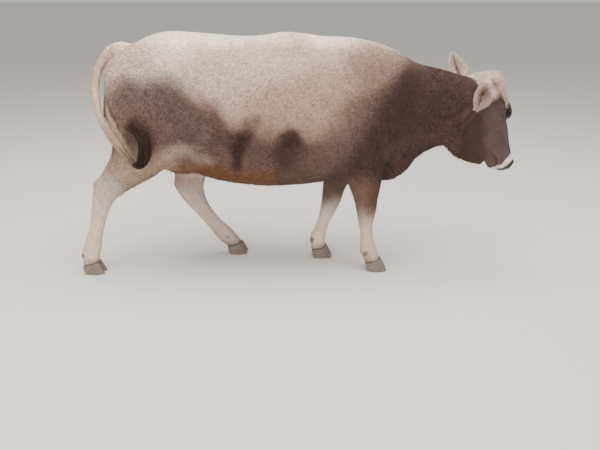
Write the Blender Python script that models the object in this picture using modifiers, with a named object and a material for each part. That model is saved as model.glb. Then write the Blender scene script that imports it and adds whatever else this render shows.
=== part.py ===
"""A life-size still model of a Carpathian Brown cow, walking with her head lowered and turned away.

Metres, +Z up. The cow faces +X, and her left side is +Y. The flesh is lofted from named sections, fused,
smoothed and parted into named pieces by thin cuts. Hooves, eyes, ears and the tail are pieces of their own.
"""

import math
import random

import bmesh
import bpy
import numpy as np
from mathutils import Matrix, Vector

GAP = 0.0003  # between pieces that touch

# Driving sizes of the animal
BACK_HEIGHT = 1.275
HEAD_LENGTH = 0.485
EYE_RADIUS = 0.0185
HOOF_LENGTH = 0.105
HOOF_WIDTH = 0.050
FLOOR = 0.022  # height of the floor in the frame the sections are given in
CORONET_HEIGHT = 0.055
CORONET_SLOPE = math.radians(14)

# Finish of the meshes
BODY_VOXEL = 0.011
HEAD_VOXEL = 0.0048
UDDER_VOXEL = 0.008
BODY_TRIANGLES = 4300
HEAD_TRIANGLES = 3500
UDDER_TRIANGLES = 500
SHARP_ANGLE = math.radians(50)

# Pose of the head: where the poll is, and how the head is turned
POLL = Vector((1.010, -0.003, 1.040))
HEAD_PITCH = math.radians(68.5)
HEAD_YAW = math.radians(27)
HEAD_ROLL = math.radians(8)
HEAD_SCALE = 1.04

# The head's landmarks, in its own frame
EYE_CENTRE = (0.158, 0.0785, -0.034)
EYE_LOOK = (0.16, 0.92, 0.34)
LID_RADIUS = 0.0232
LID_OPENING = (0.0195, 0.0130, 0.016)
NOSTRIL = (0.474, 0.038, -0.038)
NOSTRIL_LONG = (-0.35, 0.75, 0.45)
NOSTRIL_SIZE = (0.0155, 0.0085, 0.016)
MOUTH_LEVEL = -0.116
EAR_ROOT = (-0.012, 0.082, -0.084)

# The ears: sizes, and the shape along their length
EAR_WAY = (-0.10, 1.0, -0.86)
EAR_STALK = 0.056
EAR_CUT = 0.034
EAR_HALF_WIDTH = 0.050
EAR_WALL = 0.006
EAR_SHARES = (0.0, 0.15, 0.30, 0.48, 0.66, 0.84, 1.0)
EAR_WIDTHS = (0.50, 0.50, 0.70, 0.98, 1.00, 0.70, 0.16)
EAR_DEPTHS = (0.50, 0.48, 0.56, 0.60, 0.48, 0.30, 0.08)
EAR_HOLLOWS = (0.0, 0.0, 0.55, 1.0, 1.0, 0.9, 0.6)
EAR_TIP_RIGHT = (-0.078, -0.085, -0.107)
EAR_TIP_LEFT = (-0.098, 0.055, 0.122)
EAR_OPENING_RIGHT = (0.20, -1.00, -0.02)
EAR_OPENING_LEFT = (0.28, -1.00, 0.74)

# The hooves and the dewclaws
CLAW_APART = 0.0262
DEWCLAW_BACK = 0.040
DEWCLAW_APART = 0.023
DEWCLAW_HEIGHT = 0.128

# The tail: its dock, and the switch swung up against the near thigh
TAIL_PATH = (
    (-0.860, 0.000, 1.165), (-0.915, 0.000, 1.186), (-0.969, -0.008, 1.170), (-1.006, -0.025, 1.136),
    (-1.030, -0.055, 1.089), (-1.036, -0.100, 1.030), (-1.022, -0.165, 0.948), (-0.992, -0.228, 0.872),
    (-0.944, -0.275, 0.800), (-0.887, -0.293, 0.725), (-0.845, -0.296, 0.673),
)
TAIL_RADII = (0.042, 0.040, 0.035, 0.029, 0.025, 0.023, 0.021, 0.019, 0.017, 0.0155, 0.0145)
SWITCH_LOCKS = 24
DOCK_RINGS = 26
DOCK_STUB = 6  # rings of the dock that belong to the trunk
SWITCH_PATH = (
    (-0.845, -0.296, 0.673), (-0.812, -0.298, 0.638), (-0.775, -0.299, 0.648), (-0.752, -0.303, 0.707),
    (-0.753, -0.306, 0.768), (-0.780, -0.304, 0.812), (-0.818, -0.298, 0.841), (-0.862, -0.292, 0.859),
)

# The thin sheets that part the body: centre, normal, width and height
CUTS = {
    "neck_sheet": ((0.500, 0, 0.900), (0.95, 0, 0.31), 0.95, 0.95),
    "fore_right_top": ((0.345, -0.138, 0.480), (0, 0, 1), 0.22, 0.15),
    "fore_left_top": ((0.205, 0.111, 0.472), (0, 0, 1), 0.22, 0.15),
    "hind_right_top": ((-0.905, -0.168, 0.598), (0.63, 0, 0.77), 0.30, 0.30),
    "hind_left_top": ((-0.613, 0.152, 0.500), (0, 0, 1), 0.25, 0.15),
    "fore_right_knee": ((0.353, -0.133, 0.310), (0, 0, 1), 0.14, 0.14),
    "fore_left_knee": ((0.163, 0.092, 0.305), (0, 0, 1), 0.14, 0.14),
    "hind_right_hock": ((-1.045, -0.170, 0.390), (0.30, 0, 0.95), 0.16, 0.14),
    "hind_left_hock": ((-0.595, 0.145, 0.350), (-0.55, 0, 0.83), 0.17, 0.14),
}
HEAD_CUT = (Vector((0.815, -0.030, 0.870)), Vector((0.90, 0.25, -0.35)).normalized())
BODY_PLACES = {
    "torso": (-0.22, 0, 0.86),
    "neck": (0.72, 0, 0.88),
    "leg_fore_right_upper": (0.35, -0.137, 0.395),
    "leg_fore_right_lower": (0.37, -0.131, 0.185),
    "leg_fore_left_upper": (0.185, 0.103, 0.390),
    "leg_fore_left_lower": (0.125, 0.084, 0.180),
    "leg_hind_right_upper": (-0.98, -0.169, 0.500),
    "leg_hind_right_lower": (-1.09, -0.170, 0.230),
    "leg_hind_left_upper": (-0.61, 0.150, 0.430),
    "leg_hind_left_lower": (-0.48, 0.141, 0.200),
}
MATERIAL_OF = {
    "torso": "coat_light", "udder": "udder", "tail_switch": "coat_brown", "neck": "coat_brown",
    "head": "coat_brown", "eye_left": "eye", "eye_right": "eye",
}

# Where each hoof stands
FEET = {
    "fore_right": (0.400, -0.130),
    "fore_left": (0.112, 0.078),
    "hind_right": (-1.118, -0.170),
    "hind_left": (-0.372, 0.140),
}

COLOURS = {
    "coat_light": (0.62, 0.50, 0.42),
    "coat_brown": (0.20, 0.13, 0.11),
    "coat_white": (0.70, 0.64, 0.58),
    "horn": (0.30, 0.25, 0.21),
    "eye": (0.02, 0.014, 0.01),
    "udder": (0.60, 0.45, 0.40),
}


def clear_scene():
    for obj in list(bpy.data.objects):
        bpy.data.objects.remove(obj, do_unlink=True)


def new_collection(name, hidden=False):
    collection = bpy.data.collections.new(name)
    bpy.context.scene.collection.children.link(collection)
    collection.hide_render = hidden
    return collection


def material(name):
    found = bpy.data.materials.get(name)
    if found:
        return found
    made = bpy.data.materials.new(name)
    made.use_nodes = True
    shader = made.node_tree.nodes["Principled BSDF"]
    shader.inputs["Base Color"].default_value = (*COLOURS[name], 1.0)
    shader.inputs["Roughness"].default_value = 0.15 if name == "eye" else 0.8
    shader.inputs["Metallic"].default_value = 0.0
    return made


def mesh_object(name, bm, collection):
    mesh = bpy.data.meshes.new(name)
    bm.to_mesh(mesh)
    bm.free()
    obj = bpy.data.objects.new(name, mesh)
    collection.objects.link(obj)
    return obj


def applied(obj):
    """The object with its modifiers made part of its mesh."""
    graph = bpy.context.evaluated_depsgraph_get()
    mesh = bpy.data.meshes.new_from_object(obj.evaluated_get(graph), depsgraph=graph)
    obj.modifiers.clear()
    obj.data = mesh
    return obj


def smooth_rows(rows, count):
    """Rows of numbers read from a smooth curve through the given rows."""
    rows = np.array(rows, float)
    spans = np.linalg.norm(np.diff(rows[:, :3], axis=0), axis=1)
    knots = np.concatenate([[0.0], np.cumsum(spans)])
    slopes = np.gradient(rows, knots, axis=0)
    at = np.linspace(0.0, knots[-1], count)
    out = []
    for t in at:
        i = min(int(np.searchsorted(knots, t, side="right")) - 1, len(rows) - 2)
        h = knots[i + 1] - knots[i]
        s = (t - knots[i]) / h
        out.append(
            rows[i] * (1 + 2 * s) * (1 - s) ** 2
            + slopes[i] * h * s * (1 - s) ** 2
            + rows[i + 1] * s * s * (3 - 2 * s)
            + slopes[i + 1] * h * s * s * (s - 1)
        )
    return np.array(out)


def superellipse(angle, up, down, side, upper_power, lower_power):
    c, s = math.cos(angle), math.sin(angle)
    power = upper_power if s >= 0 else lower_power
    height = up if s >= 0 else down
    return (
        side * math.copysign(abs(c) ** (2 / power), c),
        height * math.copysign(abs(s) ** (2 / power), s),
    )


def loft(name, rows, collection, sides=28, rings=30, powers=(2.1, 2.1), place=None):
    """A closed tube through rows of (x, y, z, up, down, side): its centre and half sizes.

    Up lies in the XZ plane at right angles to the path, so on a leg that runs down it means forwards.
    """
    table = smooth_rows(rows, rings)
    bm = bmesh.new()
    loops = []
    for i, row in enumerate(table):
        ahead = table[min(i + 1, rings - 1)][:3] - table[max(i - 1, 0)][:3]
        length = math.hypot(ahead[0], ahead[2]) or 1.0
        up_way = Vector((-ahead[2] / length, 0.0, ahead[0] / length))
        centre = Vector(row[:3])
        loop = []
        for k in range(sides):
            across, above = superellipse(2 * math.pi * k / sides, *row[3:6], *powers)
            point = centre + up_way * above + Vector((0.0, across, 0.0))
            loop.append(bm.verts.new(place @ point if place else point))
        loops.append(loop)
    for a, b in zip(loops, loops[1:]):
        for k in range(sides):
            bm.faces.new((a[k], a[(k + 1) % sides], b[(k + 1) % sides], b[k]))
    bm.faces.new(loops[0][::-1])
    bm.faces.new(loops[-1])
    bmesh.ops.recalc_face_normals(bm, faces=bm.faces)
    return mesh_object(name, bm, collection)


def mass(name, centre, radii, collection, turn=(0, 0, 0), place=None, detail=16):
    """An ellipsoid of muscle or bone under the skin."""
    matrix = (
        Matrix.Translation(centre)
        @ Matrix.Rotation(math.radians(turn[2]), 4, "Z")
        @ Matrix.Rotation(math.radians(turn[1]), 4, "Y")
        @ Matrix.Rotation(math.radians(turn[0]), 4, "X")
        @ Matrix.Diagonal((*radii, 1.0))
    )
    if place:
        matrix = place @ matrix
    bm = bmesh.new()
    bmesh.ops.create_uvsphere(bm, u_segments=detail, v_segments=detail // 2, radius=1.0, matrix=matrix)
    return mesh_object(name, bm, collection)


# The torso and the neck: rows of (x, y, z of the widest level, up, down, half width)
def torso_rows():
    stations = (  # x, top, widest level, bottom, half width
        (-1.000, 1.090, 1.00, 0.880, 0.050),
        (-0.985, 1.150, 1.00, 0.800, 0.105),
        (-0.945, 1.205, 0.99, 0.740, 0.155),
        (-0.870, 1.242, 0.97, 0.700, 0.195),
        (-0.763, BACK_HEIGHT, 0.95, 0.640, 0.225),
        (-0.640, BACK_HEIGHT + 0.005, 0.93, 0.580, 0.245),
        (-0.500, BACK_HEIGHT, 0.89, 0.530, 0.272),
        (-0.350, BACK_HEIGHT - 0.003, 0.84, 0.492, 0.305),
        (-0.180, BACK_HEIGHT - 0.003, 0.80, 0.474, 0.320),
        (0.000, BACK_HEIGHT - 0.004, 0.80, 0.484, 0.304),
        (0.150, BACK_HEIGHT - 0.010, 0.82, 0.500, 0.270),
        (0.255, BACK_HEIGHT - 0.024, 0.84, 0.505, 0.238),
        (0.358, 1.220, 0.84, 0.500, 0.212),
        (0.455, 1.160, 0.82, 0.500, 0.180),
        (0.530, 1.060, 0.79, 0.530, 0.130),
        (0.585, 0.950, 0.78, 0.630, 0.070),
    )
    return [(x, 0, mid, top - mid, mid - low, half) for x, top, mid, low, half in stations]


NECK_ROWS = (
    (0.220, 0.000, 0.900, 0.310, 0.300, 0.190),
    (0.360, 0.000, 0.890, 0.300, 0.310, 0.185),
    (0.480, 0.000, 0.885, 0.270, 0.300, 0.160),
    (0.590, 0.000, 0.880, 0.245, 0.265, 0.135),
    (0.700, -0.012, 0.885, 0.215, 0.215, 0.116),
    (0.800, -0.024, 0.890, 0.185, 0.190, 0.106),
    (0.880, -0.028, 0.895, 0.150, 0.180, 0.096),
    (0.950, -0.020, 0.885, 0.120, 0.150, 0.082),
)

DEWLAP_ROWS = (
    (0.400, 0.000, 0.560, 0.080, 0.060, 0.045),
    (0.480, 0.000, 0.560, 0.080, 0.066, 0.036),
    (0.545, 0.000, 0.600, 0.070, 0.066, 0.030),
    (0.600, -0.006, 0.655, 0.060, 0.054, 0.026),
    (0.680, -0.028, 0.715, 0.050, 0.044, 0.026),
    (0.740, -0.050, 0.735, 0.050, 0.042, 0.028),
    (0.790, -0.060, 0.745, 0.050, 0.046, 0.030),
)

# The loose skin under the jaw, in the head's frame
THROAT_ROWS = (
    (0.060, 0.000, -0.250, 0.080, 0.060, 0.040),
    (0.130, 0.000, -0.280, 0.080, 0.066, 0.038),
    (0.200, 0.000, -0.290, 0.080, 0.064, 0.035),
    (0.260, 0.000, -0.270, 0.070, 0.060, 0.031),
    (0.310, 0.000, -0.238, 0.060, 0.052, 0.028),
    (0.350, 0.000, -0.205, 0.050, 0.042, 0.025),
    (0.390, 0.000, -0.172, 0.040, 0.028, 0.022),
)

# Legs: rows of (x, y, z, forwards, backwards, half width), from the body down to the coronet
HIND_RIGHT_ROWS = (
    (-0.760, -0.125, 1.080, 0.200, 0.200, 0.095),
    (-0.780, -0.145, 0.950, 0.215, 0.200, 0.108),
    (-0.800, -0.155, 0.820, 0.205, 0.185, 0.104),
    (-0.830, -0.163, 0.700, 0.175, 0.152, 0.088),
    (-0.900, -0.168, 0.605, 0.118, 0.100, 0.066),
    (-0.965, -0.170, 0.535, 0.086, 0.076, 0.047),
    (-1.012, -0.170, 0.470, 0.066, 0.070, 0.043),
    (-1.040, -0.170, 0.400, 0.048, 0.052, 0.037),
    (-1.066, -0.170, 0.310, 0.039, 0.042, 0.030),
    (-1.090, -0.170, 0.220, 0.038, 0.042, 0.030),
    (-1.110, -0.170, 0.150, 0.045, 0.050, 0.038),
    (-1.122, -0.170, 0.100, 0.043, 0.044, 0.038),
    (-1.120, -0.170, 0.012, 0.052, 0.048, 0.046),
)
HIND_LEFT_ROWS = (
    (-0.750, 0.125, 1.080, 0.200, 0.200, 0.095),
    (-0.720, 0.145, 0.950, 0.215, 0.200, 0.108),
    (-0.680, 0.155, 0.820, 0.195, 0.190, 0.104),
    (-0.640, 0.158, 0.700, 0.155, 0.160, 0.088),
    (-0.615, 0.156, 0.600, 0.120, 0.128, 0.068),
    (-0.613, 0.152, 0.500, 0.092, 0.098, 0.050),
    (-0.615, 0.148, 0.415, 0.072, 0.088, 0.044),
    (-0.585, 0.144, 0.335, 0.054, 0.058, 0.038),
    (-0.535, 0.141, 0.260, 0.041, 0.044, 0.031),
    (-0.480, 0.140, 0.190, 0.040, 0.044, 0.030),
    (-0.430, 0.140, 0.135, 0.046, 0.050, 0.038),
    (-0.392, 0.140, 0.095, 0.043, 0.044, 0.038),
    (-0.372, 0.140, 0.012, 0.052, 0.048, 0.046),
)
FORE_RIGHT_ROWS = (
    (0.330, -0.115, 0.800, 0.150, 0.150, 0.085),
    (0.332, -0.130, 0.680, 0.130, 0.130, 0.080),
    (0.336, -0.137, 0.580, 0.104, 0.108, 0.068),
    (0.343, -0.138, 0.500, 0.085, 0.088, 0.056),
    (0.348, -0.137, 0.430, 0.066, 0.066, 0.047),
    (0.352, -0.135, 0.365, 0.055, 0.054, 0.047),
    (0.353, -0.133, 0.315, 0.044, 0.046, 0.040),
    (0.357, -0.131, 0.260, 0.034, 0.038, 0.030),
    (0.362, -0.130, 0.195, 0.034, 0.038, 0.030),
    (0.370, -0.130, 0.140, 0.042, 0.047, 0.038),
    (0.386, -0.130, 0.098, 0.040, 0.041, 0.037),
    (0.398, -0.130, 0.012, 0.052, 0.046, 0.046),
)
FORE_LEFT_ROWS = (
    (0.290, 0.115, 0.800, 0.150, 0.150, 0.085),
    (0.262, 0.125, 0.680, 0.130, 0.130, 0.080),
    (0.235, 0.122, 0.580, 0.104, 0.108, 0.068),
    (0.212, 0.114, 0.500, 0.084, 0.086, 0.056),
    (0.190, 0.105, 0.425, 0.064, 0.064, 0.047),
    (0.175, 0.097, 0.350, 0.055, 0.054, 0.047),
    (0.160, 0.091, 0.300, 0.044, 0.046, 0.040),
    (0.138, 0.085, 0.238, 0.034, 0.038, 0.030),
    (0.117, 0.081, 0.175, 0.034, 0.038, 0.030),
    (0.102, 0.078, 0.125, 0.042, 0.047, 0.038),
    (0.104, 0.078, 0.090, 0.040, 0.041, 0.037),
    (0.110, 0.078, 0.012, 0.052, 0.046, 0.046),
)
LEG_ROWS = {
    "hind_right": HIND_RIGHT_ROWS,
    "hind_left": HIND_LEFT_ROWS,
    "fore_right": FORE_RIGHT_ROWS,
    "fore_left": FORE_LEFT_ROWS,
}


def head_place():
    """Takes the head's own frame (down the face, to her left, out of the face) to the model's."""
    return (
        Matrix.Translation(POLL)
        @ Matrix.Rotation(HEAD_YAW, 4, "Z")
        @ Matrix.Rotation(HEAD_PITCH, 4, "Y")
        @ Matrix.Rotation(HEAD_ROLL, 4, "X")
        @ Matrix.Scale(HEAD_SCALE, 4)
    )


def head_way(direction):
    """A direction of the head's own frame, as a unit vector of the model's."""
    return (head_place().to_3x3() @ Vector(direction)).normalized()


def head_rows():
    stations = (  # along the face, face, widest level, jaw, half width
        (-0.022, -0.045, -0.085, -0.125, 0.040),
        (0.000, -0.010, -0.078, -0.160, 0.074),
        (0.040, 0.006, -0.068, -0.205, 0.090),
        (0.090, 0.010, -0.062, -0.246, 0.094),
        (0.140, 0.008, -0.060, -0.276, 0.094),
        (0.190, 0.000, -0.070, -0.280, 0.085),
        (0.240, 0.002, -0.082, -0.264, 0.073),
        (0.300, 0.001, -0.086, -0.226, 0.060),
        (0.360, -0.004, -0.080, -0.180, 0.052),
        (0.410, -0.009, -0.072, -0.152, 0.055),
        (0.445, -0.017, -0.070, -0.138, 0.060),
        (0.470, -0.034, -0.076, -0.124, 0.052),
        (HEAD_LENGTH, -0.046, -0.078, -0.112, 0.034),
    )
    return [(a, 0, mid, top - mid, mid - low, half) for a, top, mid, low, half in stations]


def both_sides(name, centre, radii, collection, turn=(0, 0, 0), place=None):
    x, y, z = centre
    rx, ry, rz = turn
    mass(name + "_left", (x, y, z), radii, collection, (rx, ry, rz), place)
    mass(name + "_right", (x, -y, z), radii, collection, (-rx, ry, -rz), place)


def head_masses(flesh):
    place = head_place()
    loft("skull", head_rows(), flesh, sides=36, rings=44, powers=(2.2, 1.9), place=place)
    both_sides("cheek", (0.150, 0.056, -0.165), (0.090, 0.032, 0.085), flesh, place=place)
    both_sides("brow", (0.152, 0.074, -0.013), (0.055, 0.030, 0.025), flesh, place=place)
    both_sides("lid_bulge", EYE_CENTRE, (LID_RADIUS,) * 3, flesh, place=place)
    both_sides("ear_root", (EAR_ROOT[0], 0.070, EAR_ROOT[2]), (0.030, 0.030, 0.030), flesh, place=place)
    both_sides("nostril_wing", (0.440, 0.040, -0.045), (0.030, 0.020, 0.024), flesh, place=place)
    both_sides("upper_lip", (0.415, 0.034, -0.098), (0.050, 0.026, 0.024), flesh, place=place)
    mass("chin", (0.415, 0, -0.130), (0.046, 0.036, 0.024), flesh, place=place)
    mass("poll", (0.008, 0, -0.024), (0.045, 0.056, 0.034), flesh, place=place)
    loft("throat_fold", THROAT_ROWS, flesh, sides=20, rings=24, place=place)


def body_masses(flesh):
    loft("barrel", torso_rows(), flesh, sides=40, rings=60, powers=(2.25, 2.1))
    loft("neck_core", NECK_ROWS, flesh, sides=32, rings=36, powers=(1.9, 2.0))
    loft("dewlap", DEWLAP_ROWS, flesh, sides=20, rings=24)
    for name, rows in LEG_ROWS.items():
        loft(name, rows, flesh, sides=24, rings=60, powers=(2.2, 2.2))
        x, y = FEET[name]
        for side in (-1, 1):
            centre = (x - DEWCLAW_BACK, y + side * DEWCLAW_APART, DEWCLAW_HEIGHT)
            mass(f"{name}_dewclaw_{side}", centre, (0.014, 0.011, 0.017), flesh)
    both_sides("hook_bone", (-0.520, 0.140, 1.120), (0.150, 0.092, 0.090), flesh)
    both_sides("pin_bone", (-0.935, 0.095, 1.085), (0.060, 0.050, 0.055), flesh)
    both_sides("rump", (-0.760, 0.100, 1.080), (0.230, 0.105, 0.140), flesh)
    both_sides("shoulder_blade", (0.290, 0.120, 0.960), (0.170, 0.085, 0.250), flesh, turn=(0, 20, 0))
    both_sides("shoulder_point", (0.425, 0.110, 0.760), (0.110, 0.085, 0.120), flesh)
    both_sides("triceps", (0.280, 0.150, 0.730), (0.150, 0.078, 0.160), flesh)
    both_sides("flank_fold", (-0.590, 0.185, 0.660), (0.150, 0.050, 0.090), flesh)
    mass("brisket", (0.440, 0, 0.560), (0.110, 0.085, 0.066), flesh)
    mass("hock_point_right", (-1.052, -0.170, 0.503), (0.028, 0.024, 0.042), flesh, turn=(0, -20, 0))
    mass("hock_point_left", (-0.688, 0.148, 0.440), (0.028, 0.024, 0.042), flesh, turn=(0, 10, 0))


def fused(name, flesh, voxel, rounds, collection, softness=None):
    """One closed skin round every piece of the collection, smoothed where softness(point) is above 0."""
    bm = bmesh.new()
    for obj in flesh.objects:
        bm.from_mesh(obj.data)
    whole = mesh_object(name, bm, collection)
    remesh = whole.modifiers.new("remesh", "REMESH")
    remesh.mode = "VOXEL"
    remesh.voxel_size = voxel
    applied(whole)
    if softness:
        group = whole.vertex_groups.new(name="soft")
        for vertex in whole.data.vertices:
            group.add([vertex.index], softness(vertex.co), "REPLACE")
    smooth = whole.modifiers.new("smooth", "SMOOTH")
    smooth.factor = 0.5
    smooth.iterations = rounds
    if softness:
        smooth.vertex_group = "soft"
    applied(whole)
    whole.vertex_groups.clear()
    return whole


def step(edge_low, edge_high, value):
    t = min(max((value - edge_low) / (edge_high - edge_low), 0.0), 1.0)
    return t * t * (3 - 2 * t)


def body_softness(point):
    """Full on the trunk, little on the thin legs and near the head."""
    return 0.10 + 0.90 * step(0.46, 0.66, point.z) * (1 - step(0.72, 0.90, point.x))


def thinned(obj, triangles):
    obj.data.calc_loop_triangles()
    thin = obj.modifiers.new("thin", "DECIMATE")
    thin.ratio = min(1.0, triangles / len(obj.data.loop_triangles))
    thin.use_collapse_triangulate = True
    return applied(obj)


def combined(obj, operation, other):
    """The exact Boolean of an object with another object or with a collection of closed meshes."""
    step_made = obj.modifiers.new("combine", "BOOLEAN")
    step_made.solver = "EXACT"
    step_made.operation = operation
    if isinstance(other, bpy.types.Collection):
        step_made.operand_type = "COLLECTION"
        step_made.collection = other
    else:
        step_made.object = other
    return applied(obj)


def dropped(*objects):
    for obj in objects:
        bpy.data.objects.remove(obj, do_unlink=True)


def emptied(collection):
    dropped(*list(collection.objects))
    bpy.data.collections.remove(collection)


def slab(name, centre, normal, width, height, collection):
    """A sheet as thick as the gap, to part one piece from the next."""
    turn = Vector(normal).normalized().to_track_quat("Z", "Y").to_matrix().to_4x4()
    bm = bmesh.new()
    matrix = Matrix.Translation(centre) @ turn @ Matrix.Diagonal((width, height, GAP, 1.0))
    bmesh.ops.create_cube(bm, size=1.0, matrix=matrix)
    return mesh_object(name, bm, collection)


def cut_behind(obj, ahead, collection):
    """Takes away what lies behind the head's cut, moved ahead by a distance."""
    point, normal = HEAD_CUT
    turn = normal.to_track_quat("Z", "Y").to_matrix().to_4x4()
    bm = bmesh.new()
    bmesh.ops.create_cube(bm, size=2.0, matrix=Matrix.Translation(point + normal * (ahead - 1.0)) @ turn)
    block = mesh_object("block", bm, collection)
    combined(obj, "DIFFERENCE", block)
    dropped(block)


def parts_of(obj, collection):
    """Each closed surface of a mesh as an object of its own; the mesh itself is dropped."""
    bm = bmesh.new()
    bm.from_mesh(obj.data)
    bm.faces.index_update()
    seen = set()
    parts = []
    for start in bm.faces:
        if start.index in seen:
            continue
        group, front = [], [start]
        seen.add(start.index)
        while front:
            face = front.pop()
            group.append(face)
            for edge in face.edges:
                for other in edge.link_faces:
                    if other.index not in seen:
                        seen.add(other.index)
                        front.append(other)
        piece = bmesh.new()
        made = {}
        for face in sorted(group, key=lambda f: f.index):
            for vert in face.verts:
                if vert not in made:
                    made[vert] = piece.verts.new(vert.co)
            piece.faces.new([made[vert] for vert in face.verts])
        parts.append(mesh_object("part", piece, collection))
    bm.free()
    dropped(obj)
    return parts


def largest(obj, collection):
    """The object's biggest closed surface alone, under the object's name."""
    name = obj.name
    parts = sorted(parts_of(obj, collection), key=lambda part: -len(part.data.vertices))
    dropped(*parts[1:])
    parts[0].name = name
    return parts[0]


def middle(obj):
    corners = [Vector(corner) for corner in obj.bound_box]
    return sum(corners, Vector()) / len(corners)


def claimed(parts, places):
    """Names each part by the place its middle is nearest to, and drops the parts without a name."""
    named = {}
    for name, place in places.items():
        near = min(parts, key=lambda part: (middle(part) - Vector(place)).length)
        near.name = name
        named[name] = near
    for part in parts:
        if part not in named.values():
            dropped(part)
    return named


def swollen(obj, name, amount, collection):
    """A copy of the object grown by an amount, to keep the next piece clear of it."""
    bm = bmesh.new()
    bm.from_mesh(obj.data)
    bm.normal_update()
    moved = [(vert, vert.normal * amount) for vert in bm.verts]
    for vert, shift in moved:
        vert.co += shift
    return mesh_object(name, bm, collection)


def frames_along(path, across, ends=(None, None)):
    """Points, ways ahead and sideways axes along a path; ends are the points before and after it, if any."""
    points = [Vector(p) for p in path]
    out = []
    for i, point in enumerate(points):
        before = points[i - 1] if i else ends[0] or point
        after = points[i + 1] if i + 1 < len(points) else ends[1] or point
        ahead = (after - before).normalized()
        side = (across - ahead * across.dot(ahead)).normalized()
        out.append((point, side, ahead.cross(side)))
        across = side
    return out


def tube(name, path, widths, depths, across, collection, sides=12, pointed=False, ends=(None, None)):
    """A closed tube along a path, with half sizes sideways and in depth for each point."""
    bm = bmesh.new()
    loops = []
    frames = frames_along(path, across, ends)
    body = frames[:-1] if pointed else frames
    for (point, side, out), width, depth in zip(body, widths, depths):
        loop = []
        for k in range(sides):
            angle = 2 * math.pi * k / sides
            loop.append(bm.verts.new(point + side * width * math.cos(angle) + out * depth * math.sin(angle)))
        loops.append(loop)
    for a, b in zip(loops, loops[1:]):
        for k in range(sides):
            bm.faces.new((a[k], a[(k + 1) % sides], b[(k + 1) % sides], b[k]))
    bm.faces.new(loops[0][::-1])
    if pointed:
        tip = bm.verts.new(frames[-1][0])
        for k in range(sides):
            bm.faces.new((loops[-1][k], loops[-1][(k + 1) % sides], tip))
    else:
        bm.faces.new(loops[-1])
    bmesh.ops.recalc_face_normals(bm, faces=bm.faces)
    return mesh_object(name, bm, collection)


def curve_point(path, t):
    """The point a share t of the way along a smooth path."""
    return Vector(smooth_rows(path, 101)[int(round(t * 100))][:3])


# The ears: each a scoop on a short stalk
def ear_root(side):
    """Where an ear leaves the head, and which way. Side is 1 for her left."""
    x, y, z = EAR_ROOT
    return head_place() @ Vector((x, side * y, z)), head_way((EAR_WAY[0], side * EAR_WAY[1], EAR_WAY[2]))


def ear(name, side, tip_shift, opening, collection):
    """The tip's shift from the root and the way the cup opens are in the model's frame."""
    root, out = ear_root(side)
    bend = root + out * EAR_STALK
    tip = root + Vector(tip_shift)
    count = 12
    bm = bmesh.new()
    loops = []
    face_way = Vector(opening).normalized()
    arc = 7
    for i in range(count):
        t = i / (count - 1)
        centre = root * (1 - t) ** 2 + bend * 2 * t * (1 - t) + tip * t * t
        ahead = ((bend - root) * (1 - t) + (tip - bend) * t).normalized()
        up = (face_way - ahead * face_way.dot(ahead)).normalized()
        across = ahead.cross(up)
        half = EAR_HALF_WIDTH * float(np.interp(t, EAR_SHARES, EAR_WIDTHS))
        depth = EAR_HALF_WIDTH * float(np.interp(t, EAR_SHARES, EAR_DEPTHS))
        hollow = float(np.interp(t, EAR_SHARES, EAR_HOLLOWS))
        wall = min(EAR_WALL, half * 0.45)
        loop = []
        for k in range(arc + 1):
            angle = math.pi * (k / arc - 0.5)
            loop.append(centre + across * half * math.sin(angle) - up * depth * math.cos(angle))
        for k in range(arc - 1, 0, -1):
            angle = math.pi * (k / arc - 0.5)
            floor = max(depth - wall, 0.0) * math.cos(angle)
            sink = hollow * floor - (1 - hollow) * depth * 0.35 * math.cos(angle)
            loop.append(centre + across * (half - wall) * math.sin(angle) - up * sink)
        loops.append([bm.verts.new(point) for point in loop])
    size = len(loops[0])
    for a, b in zip(loops, loops[1:]):
        for k in range(size):
            bm.faces.new((a[k], a[(k + 1) % size], b[(k + 1) % size], b[k]))
    bm.faces.new(loops[0][::-1])
    bm.faces.new(loops[-1])
    bmesh.ops.recalc_face_normals(bm, faces=bm.faces)
    bmesh.ops.triangulate(bm, faces=bm.faces)
    return mesh_object(name, bm, collection)


# The hooves: two claws to a foot
def claw(name, x, y, side, collection):
    rows = (  # share of the height from the coronet down, half length, half width, forward shift
        (0.00, 0.80, 0.86, -0.004),
        (0.40, 0.90, 0.96, 0.004),
        (0.85, 1.00, 1.00, 0.014),
        (1.00, 0.98, 0.97, 0.017),
    )
    bm = bmesh.new()
    loops = []
    count = 18
    for share, long, wide, shift in rows:
        loop = []
        for k in range(count):
            angle = 2 * math.pi * k / count
            u = HOOF_LENGTH / 2 * long * math.cos(angle) + shift
            v = HOOF_WIDTH / 2 * wide * math.copysign(abs(math.sin(angle)) ** 0.8, math.sin(angle))
            pinch = 1 - 0.35 * max(0.0, math.cos(angle)) ** 3
            top = CORONET_HEIGHT + math.tan(CORONET_SLOPE) * u - GAP
            loop.append(bm.verts.new((x + u, y + side * CLAW_APART + v * pinch, FLOOR + top * (1 - share))))
        loops.append(loop)
    for a, b in zip(loops, loops[1:]):
        for k in range(count):
            bm.faces.new((a[k], a[(k + 1) % count], b[(k + 1) % count], b[k]))
    bm.faces.new(loops[0][::-1])
    bm.faces.new(loops[-1])
    bmesh.ops.recalc_face_normals(bm, faces=bm.faces)
    bmesh.ops.triangulate(bm, faces=bm.faces)
    return mesh_object(name, bm, collection)


def dent(value, size):
    return math.exp(-((value / size) ** 2))


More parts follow.
